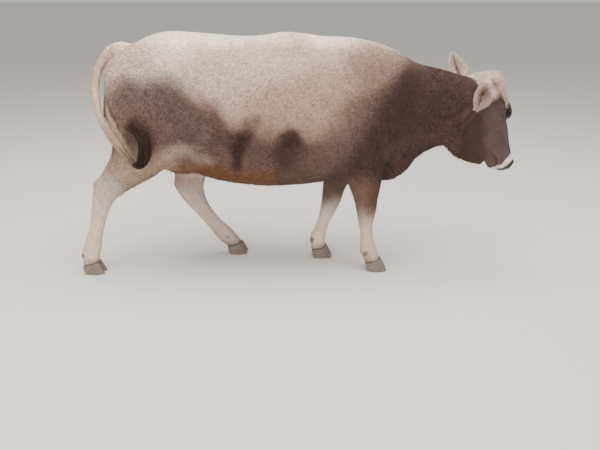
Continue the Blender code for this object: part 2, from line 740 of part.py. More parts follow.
def sculpt_head(obj):
    """Presses the mouth and the folds before the eyes into the head, and raises the nostrils' rims."""
    back = head_place().inverted()
    bm = bmesh.new()
    bm.from_mesh(obj.data)
    bm.normal_update()
    moves = []
    for vert in bm.verts:
        a, e, n = back @ vert.co
        e = abs(e)
        push = 0.0
        if a > 0.30:
            line = MOUTH_LEVEL - 0.018 * step(0.40, 0.34, a)
            push -= 0.0095 * dent(n - line, 0.0080) * step(0.325, 0.350, a)
        push += 0.004 * dent((Vector((a, e, n)) - Vector(NOSTRIL)).length - 0.020, 0.008)
        if a < 0.30:
            push -= 0.004 * dent(a - 0.225, 0.012) * dent(n + 0.085, 0.05) * step(0.03, 0.05, e)
        moves.append((vert, vert.normal * push))
    for vert, shift in moves:
        vert.co += shift
    bm.to_mesh(obj.data)
    bm.free()


def nostrils(head, collection):
    """Cuts a slanting hollow on each side of the muzzle, where its surface is nearest to the landmark."""
    for side in (-1, 1):
        near = head_place() @ Vector((NOSTRIL[0], side * NOSTRIL[1], NOSTRIL[2]))
        _, centre, out, _ = head.closest_point_on_mesh(near)
        long = head_way((NOSTRIL_LONG[0], side * NOSTRIL_LONG[1], NOSTRIL_LONG[2]))
        long = (long - out * long.dot(out)).normalized()
        frame = Matrix((long, out.cross(long), out)).transposed().to_4x4()
        matrix = Matrix.Translation(centre) @ frame @ Matrix.Diagonal((*NOSTRIL_SIZE, 1.0))
        bm = bmesh.new()
        bmesh.ops.create_uvsphere(bm, u_segments=12, v_segments=8, radius=1.0, matrix=matrix)
        cutter = mesh_object("nostril", bm, collection)
        combined(head, "DIFFERENCE", cutter)
        dropped(cutter)


def eyes(head, collection):
    """Cuts the sockets and the openings between the lids, and makes the eyeballs."""
    made = {}
    radius = EYE_RADIUS
    for side, name in ((1, "eye_left"), (-1, "eye_right")):
        centre = head_place() @ Vector((EYE_CENTRE[0], side * EYE_CENTRE[1], EYE_CENTRE[2]))
        look = head_way((EYE_LOOK[0], side * EYE_LOOK[1], EYE_LOOK[2]))
        long = head_way((1.0, 0.0, -0.30))
        long = (long - look * long.dot(look)).normalized()
        frame = Matrix((long, look.cross(long), look)).transposed().to_4x4()
        cutters = []
        socket = Matrix.Translation(centre) @ Matrix.Scale(radius + GAP, 4)
        slit = Matrix.Translation(centre + look * radius) @ frame @ Matrix.Diagonal((*LID_OPENING, 1.0))
        for cut_name, matrix in (("socket", socket), ("slit", slit)):
            bm = bmesh.new()
            bmesh.ops.create_uvsphere(bm, u_segments=16, v_segments=10, radius=1.0, matrix=matrix)
            cutters.append(mesh_object(cut_name, bm, collection))
        combined(cutters[0], "UNION", cutters[1])
        combined(head, "DIFFERENCE", cutters[0])
        dropped(*cutters)
        bm = bmesh.new()
        ball = Matrix.Translation(centre) @ Matrix.Scale(radius, 4)
        bmesh.ops.create_uvsphere(bm, u_segments=16, v_segments=10, radius=1.0, matrix=ball)
        bmesh.ops.triangulate(bm, faces=bm.faces)
        made[name] = mesh_object(name, bm, collection)
    return made


def lock(name, path, width, thick, across, collection):
    """One flat lock of hair that tapers to its tip."""
    steps = len(path)
    widths = [width * (0.75 + 0.5 * math.sin(math.pi * 0.6 * i / steps)) * (1 - 0.65 * (i / steps) ** 2)
              for i in range(steps)]
    depths = [thick * (1 - 0.5 * i / steps) for i in range(steps)]
    return tube(name, path, widths, depths, across, collection, sides=5, pointed=True)


def forelock(head, collection):
    """Short locks over the poll, on a cap that sits on the head."""
    rng = random.Random(11)
    pieces = bpy.data.collections.new("forelock_pieces")
    place = head_place()
    for row in range(3):
        for column in range(5):
            a = -0.020 + row * 0.026 + rng.uniform(-0.006, 0.006)
            e = (column - 2 + 0.5 * (row % 2)) * 0.024 + rng.uniform(-0.004, 0.004)
            height = 0.010 - 3.0 * e * e
            reach = rng.uniform(0.085, 0.120)
            sway = rng.uniform(-0.014, 0.014) + e * 0.30
            path = [
                place @ Vector((a, e * 0.9, height - 0.028)),
                place @ Vector((a + reach * 0.22, e, height - 0.002)),
                place @ Vector((a + reach * 0.50, e + sway * 0.4, height + 0.013)),
                place @ Vector((a + reach * 0.76, e + sway * 0.8, height + 0.015)),
                place @ Vector((a + reach, e + sway * 1.3, height + 0.008)),
            ]
            lock(f"lock_{row}_{column}", path, 0.0150, 0.0065, head_way((0, 1, 0)), pieces)
    cap = mass("forelock", (0.030, 0, -0.012), (0.075, 0.066, 0.024), collection, place=place, detail=16)
    combined(cap, "UNION", pieces)
    emptied(pieces)
    keep_off = swollen(head, "keep_off", GAP, collection)
    combined(cap, "DIFFERENCE", keep_off)
    dropped(keep_off)
    return largest(cap, collection)


def tail_switch(collection):
    """The end of the tail: a core that carries on from the dock, with long locks that sweep up and back."""
    rng = random.Random(7)
    pieces = bpy.data.collections.new("switch_pieces")
    for number in range(SWITCH_LOCKS):
        start = 0.07 + 0.30 * number / SWITCH_LOCKS
        reach = min(1.0, start + rng.uniform(0.42, 0.66))
        spread = (rng.uniform(-0.020, 0.020), rng.uniform(-0.012, 0.012), rng.uniform(-0.020, 0.020))
        path = []
        for k in range(5):
            share = k / 4
            point = curve_point(SWITCH_PATH, start + (reach - start) * share)
            path.append(point + Vector(spread) * (0.35 + 0.9 * share * (1 - 0.45 * share)))
        lock(f"lock_{number}", path, 0.013, 0.0065, Vector((0.6, 0.2, 0.7)), pieces)
    path = [Vector(row[:3]) for row in smooth_rows(SWITCH_PATH, 14)[:10]]
    dock_rows = smooth_rows(TAIL_PATH, DOCK_RINGS)
    ahead = Vector(dock_rows[-1][:3] - dock_rows[-2][:3]).normalized()
    path[0] = path[0] + ahead * GAP
    path[1] = path[0] + ahead * (path[1] - path[0]).length
    radii = [0.0135 - 0.0008 * i for i in range(10)]
    core = tube("tail_switch", path, radii, radii, Vector((0, 1, 0)), collection, sides=10, pointed=True,
                ends=(path[0] - ahead, None))
    combined(core, "UNION", pieces)
    emptied(pieces)
    return largest(core, collection)


def dock(name, first, last, collection):
    """The tail's dock from one ring to another; past the root it starts a gap away from the piece before."""
    table = smooth_rows([(*point, radius) for point, radius in zip(TAIL_PATH, TAIL_RADII)], DOCK_RINGS)
    path = [Vector(row[:3]) for row in table]
    radii = [row[3] for row in table][first:last + 1]
    ring = path[first:last + 1]
    if first:
        ring[0] = ring[0] + (path[first + 1] - path[first - 1]).normalized() * GAP
    side = frames_along(path, Vector((0, 1, 0)))[first][1]
    before = path[first - 1] if first else None
    after = path[last + 1] if last + 1 < len(path) else None
    return tube(name, ring, radii, radii, side, collection, sides=12, ends=(before, after))


def udder(torso, collection):
    flesh = bpy.data.collections.new("udder_flesh")
    both_sides("quarter", (-0.560, 0.048, 0.590), (0.120, 0.075, 0.075), flesh)
    for x in (-0.610, -0.530):
        both_sides("teat", (x, 0.050, 0.515), (0.012, 0.012, 0.030), flesh)
    bag = fused("udder", flesh, UDDER_VOXEL, 3, collection)
    emptied(flesh)
    thinned(bag, UDDER_TRIANGLES)
    keep_off = swollen(torso, "keep_off", GAP, collection)
    combined(bag, "DIFFERENCE", keep_off)
    dropped(keep_off)
    return largest(bag, collection)


def body(collection):
    """The trunk, the neck, the legs and the tail's dock, parted by thin sheets."""
    flesh = bpy.data.collections.new("body_flesh")
    body_masses(flesh)
    head_masses(flesh)
    whole = fused("whole", flesh, BODY_VOXEL, 24, collection, body_softness)
    emptied(flesh)
    thinned(whole, BODY_TRIANGLES)
    stub = dock("stub", 0, DOCK_STUB, collection)
    combined(whole, "UNION", stub)
    dropped(stub)
    sheets = bpy.data.collections.new("sheets")
    slab("head_sheet", *HEAD_CUT, 0.70, 0.70, sheets)
    for name, (centre, normal, width, height) in CUTS.items():
        slab(name, centre, normal, width, height, sheets)
    for name, (x, y) in FEET.items():
        normal = (-math.sin(CORONET_SLOPE), 0, math.cos(CORONET_SLOPE))
        slab(name + "_coronet", (x, y, FLOOR + CORONET_HEIGHT), normal, 0.15, 0.15, sheets)
    combined(whole, "DIFFERENCE", sheets)
    emptied(sheets)
    return claimed(parts_of(whole, collection), BODY_PLACES)


def head(collection):
    flesh = bpy.data.collections.new("head_flesh")
    head_masses(flesh)
    loft("neck_core", NECK_ROWS, flesh, sides=32, rings=36, powers=(1.9, 2.0))
    loft("dewlap", DEWLAP_ROWS, flesh, sides=20, rings=24)
    whole = fused("whole_head", flesh, HEAD_VOXEL, 8, collection)
    emptied(flesh)
    sculpt_head(whole)
    cut_behind(whole, -0.020, collection)
    thinned(whole, HEAD_TRIANGLES)
    cut_behind(whole, GAP / 2, collection)
    ears = bpy.data.collections.new("ears")
    ear("left_cup", 1, EAR_TIP_LEFT, EAR_OPENING_LEFT, ears)
    ear("right_cup", -1, EAR_TIP_RIGHT, EAR_OPENING_RIGHT, ears)
    combined(whole, "UNION", ears)
    emptied(ears)
    sheets = bpy.data.collections.new("ear_sheets")
    for side in (-1, 1):
        root, out = ear_root(side)
        slab(f"ear_sheet_{side}", root + out * EAR_CUT, out, 0.12, 0.12, sheets)
    combined(whole, "DIFFERENCE", sheets)
    emptied(sheets)
    places = {"head": head_place() @ Vector((0.22, 0, -0.12))}
    for name, side, shift in (("ear_left", 1, EAR_TIP_LEFT), ("ear_right", -1, EAR_TIP_RIGHT)):
        root, out = ear_root(side)
        places[name] = root + Vector(shift) * 0.6
    return claimed(parts_of(whole, collection), places)


def settle(nodes):
    """Puts the middle of the model's floor area at the origin."""
    low = [min(v.co[i] for obj in nodes for v in obj.data.vertices) for i in range(3)]
    high = [max(v.co[i] for obj in nodes for v in obj.data.vertices) for i in range(3)]
    shift = Matrix.Translation((-(low[0] + high[0]) / 2, -(low[1] + high[1]) / 2, -low[2]))
    for obj in nodes:
        obj.data.transform(shift)
        obj.data.update()


def main():
    clear_scene()
    cow = new_collection("carpathian_brown_cow")
    nodes = body(cow)
    nodes.update(head(cow))
    nostrils(nodes["head"], cow)
    nodes.update(eyes(nodes["head"], cow))
    nodes["forelock"] = forelock(nodes["head"], cow)
    nodes["tail"] = dock("tail", DOCK_STUB, DOCK_RINGS - 1, cow)
    nodes["tail_switch"] = tail_switch(cow)
    nodes["udder"] = udder(nodes["torso"], cow)
    for foot, (x, y) in FEET.items():
        for side, word in ((-1, "right"), (1, "left")):
            name = f"claw_{foot}_{word}"
            nodes[name] = claw(name, x, y, side, cow)
    for name, obj in nodes.items():
        obj.name = name
        obj.data.name = name
        other = "horn" if name.startswith("claw") else "coat_white"
        obj.data.materials.clear()
        obj.data.materials.append(material(MATERIAL_OF.get(name, other)))
        obj.data.shade_smooth()
        obj.data.set_sharp_from_angle(angle=SHARP_ANGLE)
    settle(list(nodes.values()))


main()
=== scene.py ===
"""The looks of a life-size Carpathian Brown cow: one skin with folds, lids and markings, and its coat."""

import math
from collections import namedtuple

import bmesh
import bpy
import numpy as np
from mathutils import Matrix, Vector


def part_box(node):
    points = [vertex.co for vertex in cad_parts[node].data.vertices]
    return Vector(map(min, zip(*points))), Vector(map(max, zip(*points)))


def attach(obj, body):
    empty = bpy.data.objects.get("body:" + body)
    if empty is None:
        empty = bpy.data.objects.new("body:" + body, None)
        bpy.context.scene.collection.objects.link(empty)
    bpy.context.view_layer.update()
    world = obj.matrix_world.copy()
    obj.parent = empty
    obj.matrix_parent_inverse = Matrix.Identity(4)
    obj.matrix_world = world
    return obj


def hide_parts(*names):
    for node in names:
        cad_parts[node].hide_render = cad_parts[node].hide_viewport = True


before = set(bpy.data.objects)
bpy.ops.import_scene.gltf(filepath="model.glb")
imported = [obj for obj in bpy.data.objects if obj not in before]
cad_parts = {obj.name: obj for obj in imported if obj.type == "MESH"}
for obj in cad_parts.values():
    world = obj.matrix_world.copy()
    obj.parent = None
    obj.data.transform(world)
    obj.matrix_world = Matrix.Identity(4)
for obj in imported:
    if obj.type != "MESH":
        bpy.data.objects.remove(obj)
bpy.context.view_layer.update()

BODY = "root"
SIDES = (-1, 1)  # her right, her left

# The head's place and its landmarks, in its own frame: down the face, to her left, out of the face
POLL = Vector((1.010, -0.003, 1.040))
HEAD_PITCH = math.radians(68.5)
HEAD_YAW = math.radians(27)
HEAD_ROLL = math.radians(8)
HEAD_SCALE = 1.04
EYE_CENTRE = (0.158, 0.0785, -0.034)
EYE_LOOK = (0.16, 0.92, 0.34)
NOSTRIL = (0.474, 0.038, -0.038)
NOSTRIL_CURVE = (  # from the nostril's middle
    (0.006, -0.016, -0.004), (0.001, -0.008, -0.007), (0.000, 0.002, -0.004),
    (-0.003, 0.010, 0.004), (-0.010, 0.014, 0.012),
)
CHIN = (0.335, 0.0, -0.160)
MOUTH_LEVEL = -0.116

# The lids, with their opening in radii of the eye, as measured on the skin before it is shaped
LID_LENGTH = 1.34
LID_UPPER = 1.00
LID_LOWER = 0.82
LID_RIM = 0.0014  # over the eyeball
LID_SWELL = 0.0034
LID_CREASES = (  # height, place, width, and the shares of it above and below the eye
    (-0.0022, 1.45, 0.09, 1.0, 0.5),
    (0.0012, 1.66, 0.12, 1.0, 0.3),
    (-0.0011, 1.90, 0.10, 0.6, 0.9),
)
SOCKET_FILL = 1.18  # radii of the ball that fills an eye's socket before the lids are shaped
SOCKET_DEPTH = 0.82  # radii at which the skin passes behind the eyeball
EYE_FINE = 0.042  # radius round an eye in which the skin's triangles are made finer
MUZZLE_MIDDLE = (0.440, 0, -0.080)
MUZZLE_FINE = 0.084

# The ears: where each leaves the head, its way out, and its shape along its length
EAR_ROOT = (-0.012, 0.082, -0.084)
EAR_WAY = (-0.10, 1.0, -0.86)
EAR_STALK = 0.056
EAR_HALF_WIDTH = 0.050
EAR_WALL = 0.0045
EAR_RIDGE = 0.0011  # height of the ridges in the cup
EAR_ROOM_ACROSS = 0.0015  # left for the ear's hair
EAR_ROOM_DEEP = 0.0012
EAR_SHARES = (0.0, 0.15, 0.30, 0.48, 0.66, 0.84, 1.0)
EAR_WIDTHS = (0.50, 0.50, 0.70, 0.98, 1.00, 0.70, 0.16)
EAR_DEPTHS = (0.50, 0.48, 0.56, 0.60, 0.48, 0.30, 0.08)
EAR_HOLLOWS = (0.0, 0.0, 0.55, 1.0, 1.0, 0.9, 0.6)
EARS = {  # the tip's shift from the root, and the way that the cup opens
    -1: ((-0.078, -0.085, -0.107), (0.20, -1.00, -0.02)),
    1: ((-0.098, 0.055, 0.122), (0.28, -1.00, 0.74)),
}

# The hooves
HOOF_LENGTH = 0.105
HOOF_WIDTH = 0.050
CLAW_APART = 0.0262
CORONET_HEIGHT = 0.055
CORONET_SLOPE = math.radians(14)
FLOOR = 0.022  # height of the floor in the frame that the sections are given in
GAP = 0.0003
FEET = {
    "fore_right": (0.400, -0.130),
    "fore_left": (0.112, 0.078),
    "hind_right": (-1.118, -0.170),
    "hind_left": (-0.372, 0.140),
}
DEWCLAW_BACK = 0.040
DEWCLAW_APART = 0.023
DEWCLAW_HEIGHT = 0.128

# The tail, and the way its long hair sweeps
TAIL_PATH = np.array((
    (-0.860, 0.000, 1.165), (-0.915, 0.000, 1.186), (-0.969, -0.008, 1.170), (-1.006, -0.025, 1.136),
    (-1.030, -0.055, 1.089), (-1.036, -0.100, 1.030), (-1.022, -0.165, 0.948), (-0.992, -0.228, 0.872),
    (-0.944, -0.275, 0.800), (-0.887, -0.293, 0.725), (-0.845, -0.296, 0.673),
))
SWITCH_PATH = np.array((
    (-0.845, -0.296, 0.673), (-0.815, -0.298, 0.640), (-0.790, -0.299, 0.648), (-0.770, -0.303, 0.695),
    (-0.763, -0.306, 0.745), (-0.775, -0.304, 0.795), (-0.805, -0.298, 0.830), (-0.858, -0.292, 0.857),
))

# The camera, in the frame that the solids' sections are given in, and the studio
CAMERA_PLACE = Vector((0, -3.8, 1.5))
CAMERA_DOWN = math.radians(18.45)
CAMERA_LENS = 43.32
CAMERA_SENSOR = 36
LIGHT_COLOUR = (1.0, 0.96, 0.91)
OVERHEAD_POWER = 485
FRONT_POWER = 150
WORLD_COLOUR = (0.96, 0.94, 0.92, 1)
WORLD_STRENGTH = 0.66
FLOOR_COLOUR = (0.72, 0.70, 0.67, 1)

# Finish of the skin and the coat
SKIN_VOXEL = 0.0050
SKIN_TRIANGLES = 108000
SKIN_SMOOTHING = ((60, 8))  # rounds
SKIN_TONE = 0.95  # of the coat's colour
JOIN_SWELL = 0.0007  # closes the thin gaps between the solids before they are fused
COAT_SHARE = 1.0  # of the short hairs
LOCK_SHARE = 1.0  # of the long hairs
TAIL_SHARE = 1.0  # of the tail's long hairs
PIECE_HAIRS = 48000  # short hairs in one piece, at most
HAIR_PATCH = 0.0015  # half the size of a hair's patch on the unwrap
LOCK_DEPTH = 0.45  # of a long hair, of its width
HEAD_LIFT = 0.07  # of the short hairs' tips, in radians
BODY_LIFT = 0.17
SWITCH_HAIRS = 4200
TAIL_END_HAIRS = 900
LASH_WIDTH = 0.0009
# Hairs to a square metre
POLL_HAIRS = 230000
EAR_RIM_HAIRS = 380000
EAR_CUP_HAIRS = 240000
UNDERLINE_HAIRS = 16000
FETLOCK_HAIRS = 60000

# Where the parts of the body are, in the frame of the sections
HEAD_START = 0.84
TAIL_REACH = 0.055  # from the tail's path
TAIL_START = 0.15  # share of that path
HORN_TOP = 0.080

FLESH = ["torso", "neck", "head", "tail", "udder"]
FLESH += [f"leg_{foot}_{part}" for foot in FEET for part in ("upper", "lower")]


def middle(node):
    low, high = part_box(node)
    return (low + high) / 2


def head_place_unset():
    return (
        Matrix.Translation(POLL)
        @ Matrix.Rotation(HEAD_YAW, 4, "Z")
        @ Matrix.Rotation(HEAD_PITCH, 4, "Y")
        @ Matrix.Rotation(HEAD_ROLL, 4, "X")
        @ Matrix.Scale(HEAD_SCALE, 4)
    )


# The sections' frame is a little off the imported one: the eye's centre tells by how much
SHIFT = middle("eye_left") - head_place_unset() @ Vector(EYE_CENTRE)
HEAD = Matrix.Translation(SHIFT) @ head_place_unset()
HEAD_BACK = HEAD.inverted()
EYE_RADIUS = (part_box("eye_left")[1].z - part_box("eye_left")[0].z) / 2


def head_way(direction):
    return (HEAD.to_3x3() @ Vector(direction)).normalized()


def sided(place, side):
    """A place or a way that is given for her left side, on the side asked for."""
    return Vector((place[0], side * place[1], place[2]))


# Small tools for meshes and arrays
def linked(name, data):
    obj = bpy.data.objects.new(name, data)
    bpy.context.scene.collection.objects.link(obj)
    return obj


def mesh_object(name, bm):
    mesh = bpy.data.meshes.new(name)
    bm.to_mesh(mesh)
    bm.free()
    return linked(name, mesh)


def triangle_mesh(name, points, corners):
    """A mesh object from points and the corners of its triangles in a row."""
    mesh = bpy.data.meshes.new(name)
    mesh.vertices.add(len(points))
    mesh.vertices.foreach_set("co", np.asarray(points, np.float32).ravel())
    mesh.loops.add(len(corners))
    mesh.loops.foreach_set("vertex_index", np.asarray(corners, np.int32))
    mesh.polygons.add(len(corners) // 3)
    mesh.polygons.foreach_set("loop_start", np.arange(0, len(corners), 3, np.int32))
    mesh.update(calc_edges=True)
    return linked(name, mesh)


def tube(name, rings, in_triangles=False):
    """A closed mesh object from rings of points, one after another."""
    bm = bmesh.new()
    rings = [[bm.verts.new(point) for point in ring] for ring in rings]
    for a, b in zip(rings, rings[1:]):
        for k in range(len(a)):
            after = (k + 1) % len(a)
            bm.faces.new((a[k], a[after], b[after], b[k]))
    bm.faces.new(rings[0][::-1])
    bm.faces.new(rings[-1])
    bmesh.ops.recalc_face_normals(bm, faces=bm.faces)
    if in_triangles:
        bmesh.ops.triangulate(bm, faces=bm.faces)
    return mesh_object(name, bm)


def modify(obj, kind, **settings):
    """Gives the object a modifier's result as its mesh."""
    modifier = obj.modifiers.new(kind.lower(), kind)
    for key, value in settings.items():
        setattr(modifier, key, value)
    graph = bpy.context.evaluated_depsgraph_get()
    mesh = bpy.data.meshes.new_from_object(obj.evaluated_get(graph), depsgraph=graph)
    obj.modifiers.clear()
    old = obj.data
    obj.data = mesh
    bpy.data.meshes.remove(old)
    obj.vertex_groups.clear()


def values_of(items, key, size, kind):
    values = np.empty(len(items) * size, kind)
    items.foreach_get(key, values)
    return values.reshape(-1, size)


def points_of(mesh):
    return values_of(mesh.vertices, "co", 3, np.float32).astype(float)


def normals_of(mesh):
    return values_of(mesh.vertices, "normal", 3, np.float32).astype(float)


def move_points(mesh, points):
    mesh.vertices.foreach_set("co", points.astype(np.float32).ravel())
    mesh.update()


def edges_of(mesh):
    return values_of(mesh.edges, "vertices", 2, np.int32)


def triangles_of(mesh):
    mesh.calc_loop_triangles()
    return values_of(mesh.loop_triangles, "vertices", 3, np.int32)


def ramp(low, high, value):
    """0 at low, 1 at high, smooth between; high may be the smaller one."""
    t = np.clip((value - low) / (high - low), 0.0, 1.0)
    return t * t * (3 - 2 * t)


def bell(value, size):
    return np.exp(-((value / size) ** 2))


def unit(vectors):
    return vectors / np.maximum(np.linalg.norm(vectors, axis=-1, keepdims=True), 1e-9)


def norms(vectors):
    return np.linalg.norm(vectors, axis=1)


def in_head(points):
    """Points in the head's own frame."""
    back = np.array(HEAD_BACK)
    return points @ back[:3, :3].T + back[:3, 3]


def in_sections(points):
    """Points in the frame that the solids' sections are given in."""
    return points - np.array(SHIFT)


def in_both(points):
    """Points in the sections' frame, from here on called p, and in the head's own, called a."""
    return in_sections(points), in_head(points)


def head_part(p, a, start=HEAD_START, down=-0.06):
    """Whether points are on the head, beyond the neck and beyond a level down the face."""
    return (p[:, 0] > start) & (a[:, 0] > down)


def tail_part(p):
    """Whether points are on the tail, and at what share of its path."""
    distance, share = along_path(p, TAIL_PATH)
    return (distance < TAIL_REACH) & (share > TAIL_START), share


def folded(a):
    """Points of the head with her right half turned over on her left."""
    return np.stack([a[:, 0], np.abs(a[:, 1]), a[:, 2]], axis=1)


def down_muzzle(a):
    """How far points are down the muzzle, along the slant of the borders round it."""
    return a[:, 0] + 0.335 * (a[:, 2] + 0.075)


def dewclaws(inset=0.0):
    """The places of the dewclaws, set back and lowered by the inset."""
    return [np.array((x - DEWCLAW_BACK - inset, y + side * DEWCLAW_APART, DEWCLAW_HEIGHT - inset))
            for x, y in FEET.values() for side in SIDES]


def spread(values, edges, rounds, weight):
    """Values of the points evened out along the edges, as far as each point's weight says."""
    values = values.copy()
    count = np.bincount(edges.ravel(), minlength=len(values)).astype(float)
    share = 0.5 * weight[:, None]
    for _ in range(rounds):
        total = np.empty_like(values)
        for i in range(values.shape[1]):
            column = values[:, i]
            total[:, i] = np.bincount(edges[:, 0], column[edges[:, 1]], len(values))
            total[:, i] += np.bincount(edges[:, 1], column[edges[:, 0]], len(values))
        values += share * (total / np.maximum(count, 1)[:, None] - values)
    return values


def along_path(points, path):
    """For each point, its distance to the path and the share of the path's length at which it is nearest."""
    path = np.asarray(path, float)
    steps = norms(np.diff(path, axis=0))
    starts = np.concatenate(([0], np.cumsum(steps)))
    nearest = np.full(len(points), 1e9)
    share = np.zeros(len(points))
    for a, b, start, step in zip(path, path[1:], starts, steps):
        t = np.clip((points - a) @ (b - a) / step**2, 0, 1)
        distance = norms(points - a - t[:, None] * (b - a))
        closer = distance < nearest
        nearest = np.where(closer, distance, nearest)
        share = np.where(closer, (start + t * step) / starts[-1], share)
    return nearest, share


def fine_path(path, count):
    """A smooth curve through the path's points, as evenly spaced points."""
    path = np.asarray(path, float)
    ends = np.vstack((2 * path[0] - path[1], path, 2 * path[-1] - path[-2]))
    curve = []
    for i in range(len(path) - 1):
        a, b, c, d = ends[i:i + 4]
        for t in np.linspace(0, 1, 12, endpoint=False):
            curve.append(0.5 * (2 * b + (c - a) * t + (2 * a - 5 * b + 4 * c - d) * t**2
                                + (3 * b - a - 3 * c + d) * t**3))
    curve = np.array(curve + [path[-1]])
    length = np.concatenate(([0], np.cumsum(norms(np.diff(curve, axis=0)))))
    at = np.linspace(0, length[-1], count)
    return np.stack([np.interp(at, length, curve[:, i]) for i in range(3)], axis=1)


def only_largest(obj):
    """Drops every loose piece of the mesh but the biggest."""
    mesh = obj.data
    edges = edges_of(mesh)
    label = np.arange(len(mesh.vertices))
    while True:
        low = np.minimum(label[edges[:, 0]], label[edges[:, 1]])
        new = label.copy()
        np.minimum.at(new, edges[:, 0], low)
        np.minimum.at(new, edges[:, 1], low)
        new = new[new]
        if (new == label).all():
            break
        label = new
    names, counts = np.unique(label, return_counts=True)
    drop = label != names[counts.argmax()]
    if drop.any():
        bm = bmesh.new()
        bm.from_mesh(mesh)
        bm.verts.ensure_lookup_table()
        bmesh.ops.delete(bm, geom=[bm.verts[i] for i in np.nonzero(drop)[0]], context="VERTS")
        bm.to_mesh(mesh)
        bm.free()


def set_group(obj, name, weights):
    group = obj.vertex_groups.new(name=name)
    levels = np.round(np.clip(weights, 0, 1) * 50).astype(int)
    for level in np.unique(levels):
        if level:
            group.add(np.nonzero(levels == level)[0].tolist(), level / 50, "REPLACE")
    return name


# The skin's base: the flesh of the solids fused into one, smoothed where the solids are coarse
def softness(points):
    """How much a point of the skin is smoothed: full on the trunk, little on thin parts and the head."""
    p, a = in_both(points)
    trunk = ramp(0.46, 0.66, p[:, 2]) * (1 - ramp(0.78, 0.95, p[:, 0]))
    trunk = trunk * ramp(0.048, 0.070, along_path(p, TAIL_PATH[2:])[0])
    face = head_part(p, a, 0.86, 0.0) & (np.abs(a[:, 1]) < 0.13) & (a[:, 2] > -0.32)
    return np.where(face, 0.24 - 0.14 * ramp(0.34, 0.38, a[:, 0]), 0.12 + 0.88 * trunk)


def skin_base():
    bm = bmesh.new()
    for name in FLESH:
        bm.from_mesh(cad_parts[name].data)
    for side in SIDES:
        matrix = Matrix.Translation(eye_frame(side)[0]) @ Matrix.Scale(EYE_RADIUS * SOCKET_FILL, 4)
        bmesh.ops.create_uvsphere(bm, u_segments=24, v_segments=16, radius=1.0, matrix=matrix)
    bmesh.ops.remove_doubles(bm, verts=bm.verts, dist=1e-6)
    bm.normal_update()
    for vert in bm.verts:
        vert.co += vert.normal * JOIN_SWELL
    skin = mesh_object("skin", bm)
    modify(skin, "REMESH", mode="VOXEL", voxel_size=SKIN_VOXEL)
    only_largest(skin)
    for rounds in SKIN_SMOOTHING:
        group = set_group(skin, "soft", softness(points_of(skin.data)))
        modify(skin, "SMOOTH", factor=0.5, iterations=rounds, vertex_group=group)
    return skin


def thin_out(skin):
    """Fewer triangles on the trunk and legs, while the head keeps its own."""
    share = min(1.0, SKIN_TRIANGLES / len(triangles_of(skin.data)))
    group = set_group(skin, "thin", 1 - ramp(0.80, 0.92, in_sections(points_of(skin.data))[:, 0]))
    modify(skin, "DECIMATE", ratio=share, vertex_group=group, vertex_group_factor=1.0,
           use_collapse_triangulate=True)


def coat_depth(points):
    """How far the skin lies inside the solids, to leave room for the coat."""
    p, a = in_both(points)
    depth = 0.0015 + 0.0015 * ramp(0.50, 0.65, p[:, 2]) * (1 - ramp(0.86, 0.94, p[:, 0]))
    return np.where(head_part(p, a, down=0.30), depth * ramp(0.44, 0.38, a[:, 0]), depth)


# The ears
def soft_value(t, shares, values):
    return float(np.mean(np.interp(np.linspace(t - 0.06, t + 0.06, 9), shares, values)))


def ear_rings(side):
    """Along an ear: share, middle, way ahead, way it opens, way across, half width and depth."""
    root = HEAD @ sided(EAR_ROOT, side)
    bend = root + head_way(sided(EAR_WAY, side)) * EAR_STALK
    shift, opening = EARS[side]
    tip = root + Vector(shift)
    face_way = Vector(opening).normalized()
    count = 44
    rings = []
    for i in range(count):
        t = i / (count - 1)
        centre = root * (1 - t) ** 2 + bend * 2 * t * (1 - t) + tip * t * t
        ahead = ((bend - root) * (1 - t) + (tip - bend) * t).normalized()
        up = (face_way - ahead * face_way.dot(ahead)).normalized()
        half = EAR_HALF_WIDTH * soft_value(t, EAR_SHARES, EAR_WIDTHS) - EAR_ROOM_ACROSS
        depth = EAR_HALF_WIDTH * soft_value(t, EAR_SHARES, EAR_DEPTHS) - EAR_ROOM_DEEP
        rings.append((t, centre, ahead, up, ahead.cross(up), max(half, 0.003), max(depth, 0.002)))
    return rings


EAR_RINGS = {side: ear_rings(side) for side in EARS}


def ear_cup(side):
    loops = []
    arc = 22
    for t, centre, _, up, across, half, depth in EAR_RINGS[side]:
        hollow = soft_value(t, EAR_SHARES, EAR_HOLLOWS)
        wall = min(EAR_WALL, half * 0.45)
        loop = []
        for k in range(arc + 1):
            angle = math.pi * (k / arc - 0.5)
            loop.append(centre + across * half * math.sin(angle) - up * depth * math.cos(angle))
        for k in range(arc - 1, 0, -1):
            angle = math.pi * (k / arc - 0.5)
            floor = max(depth - wall, 0.0) * math.cos(angle)
            ridge = EAR_RIDGE * math.cos(angle * 7) * hollow * math.cos(angle)
            sink = hollow * floor - (1 - hollow) * depth * 0.35 * math.cos(angle) - ridge
            loop.append(centre + across * (half - wall) * math.sin(angle) - up * sink)
        loops.append(loop)
    return tube("ear_cup", loops, in_triangles=True)


EarPlace = namedtuple("EarPlace", "share across up ahead on")


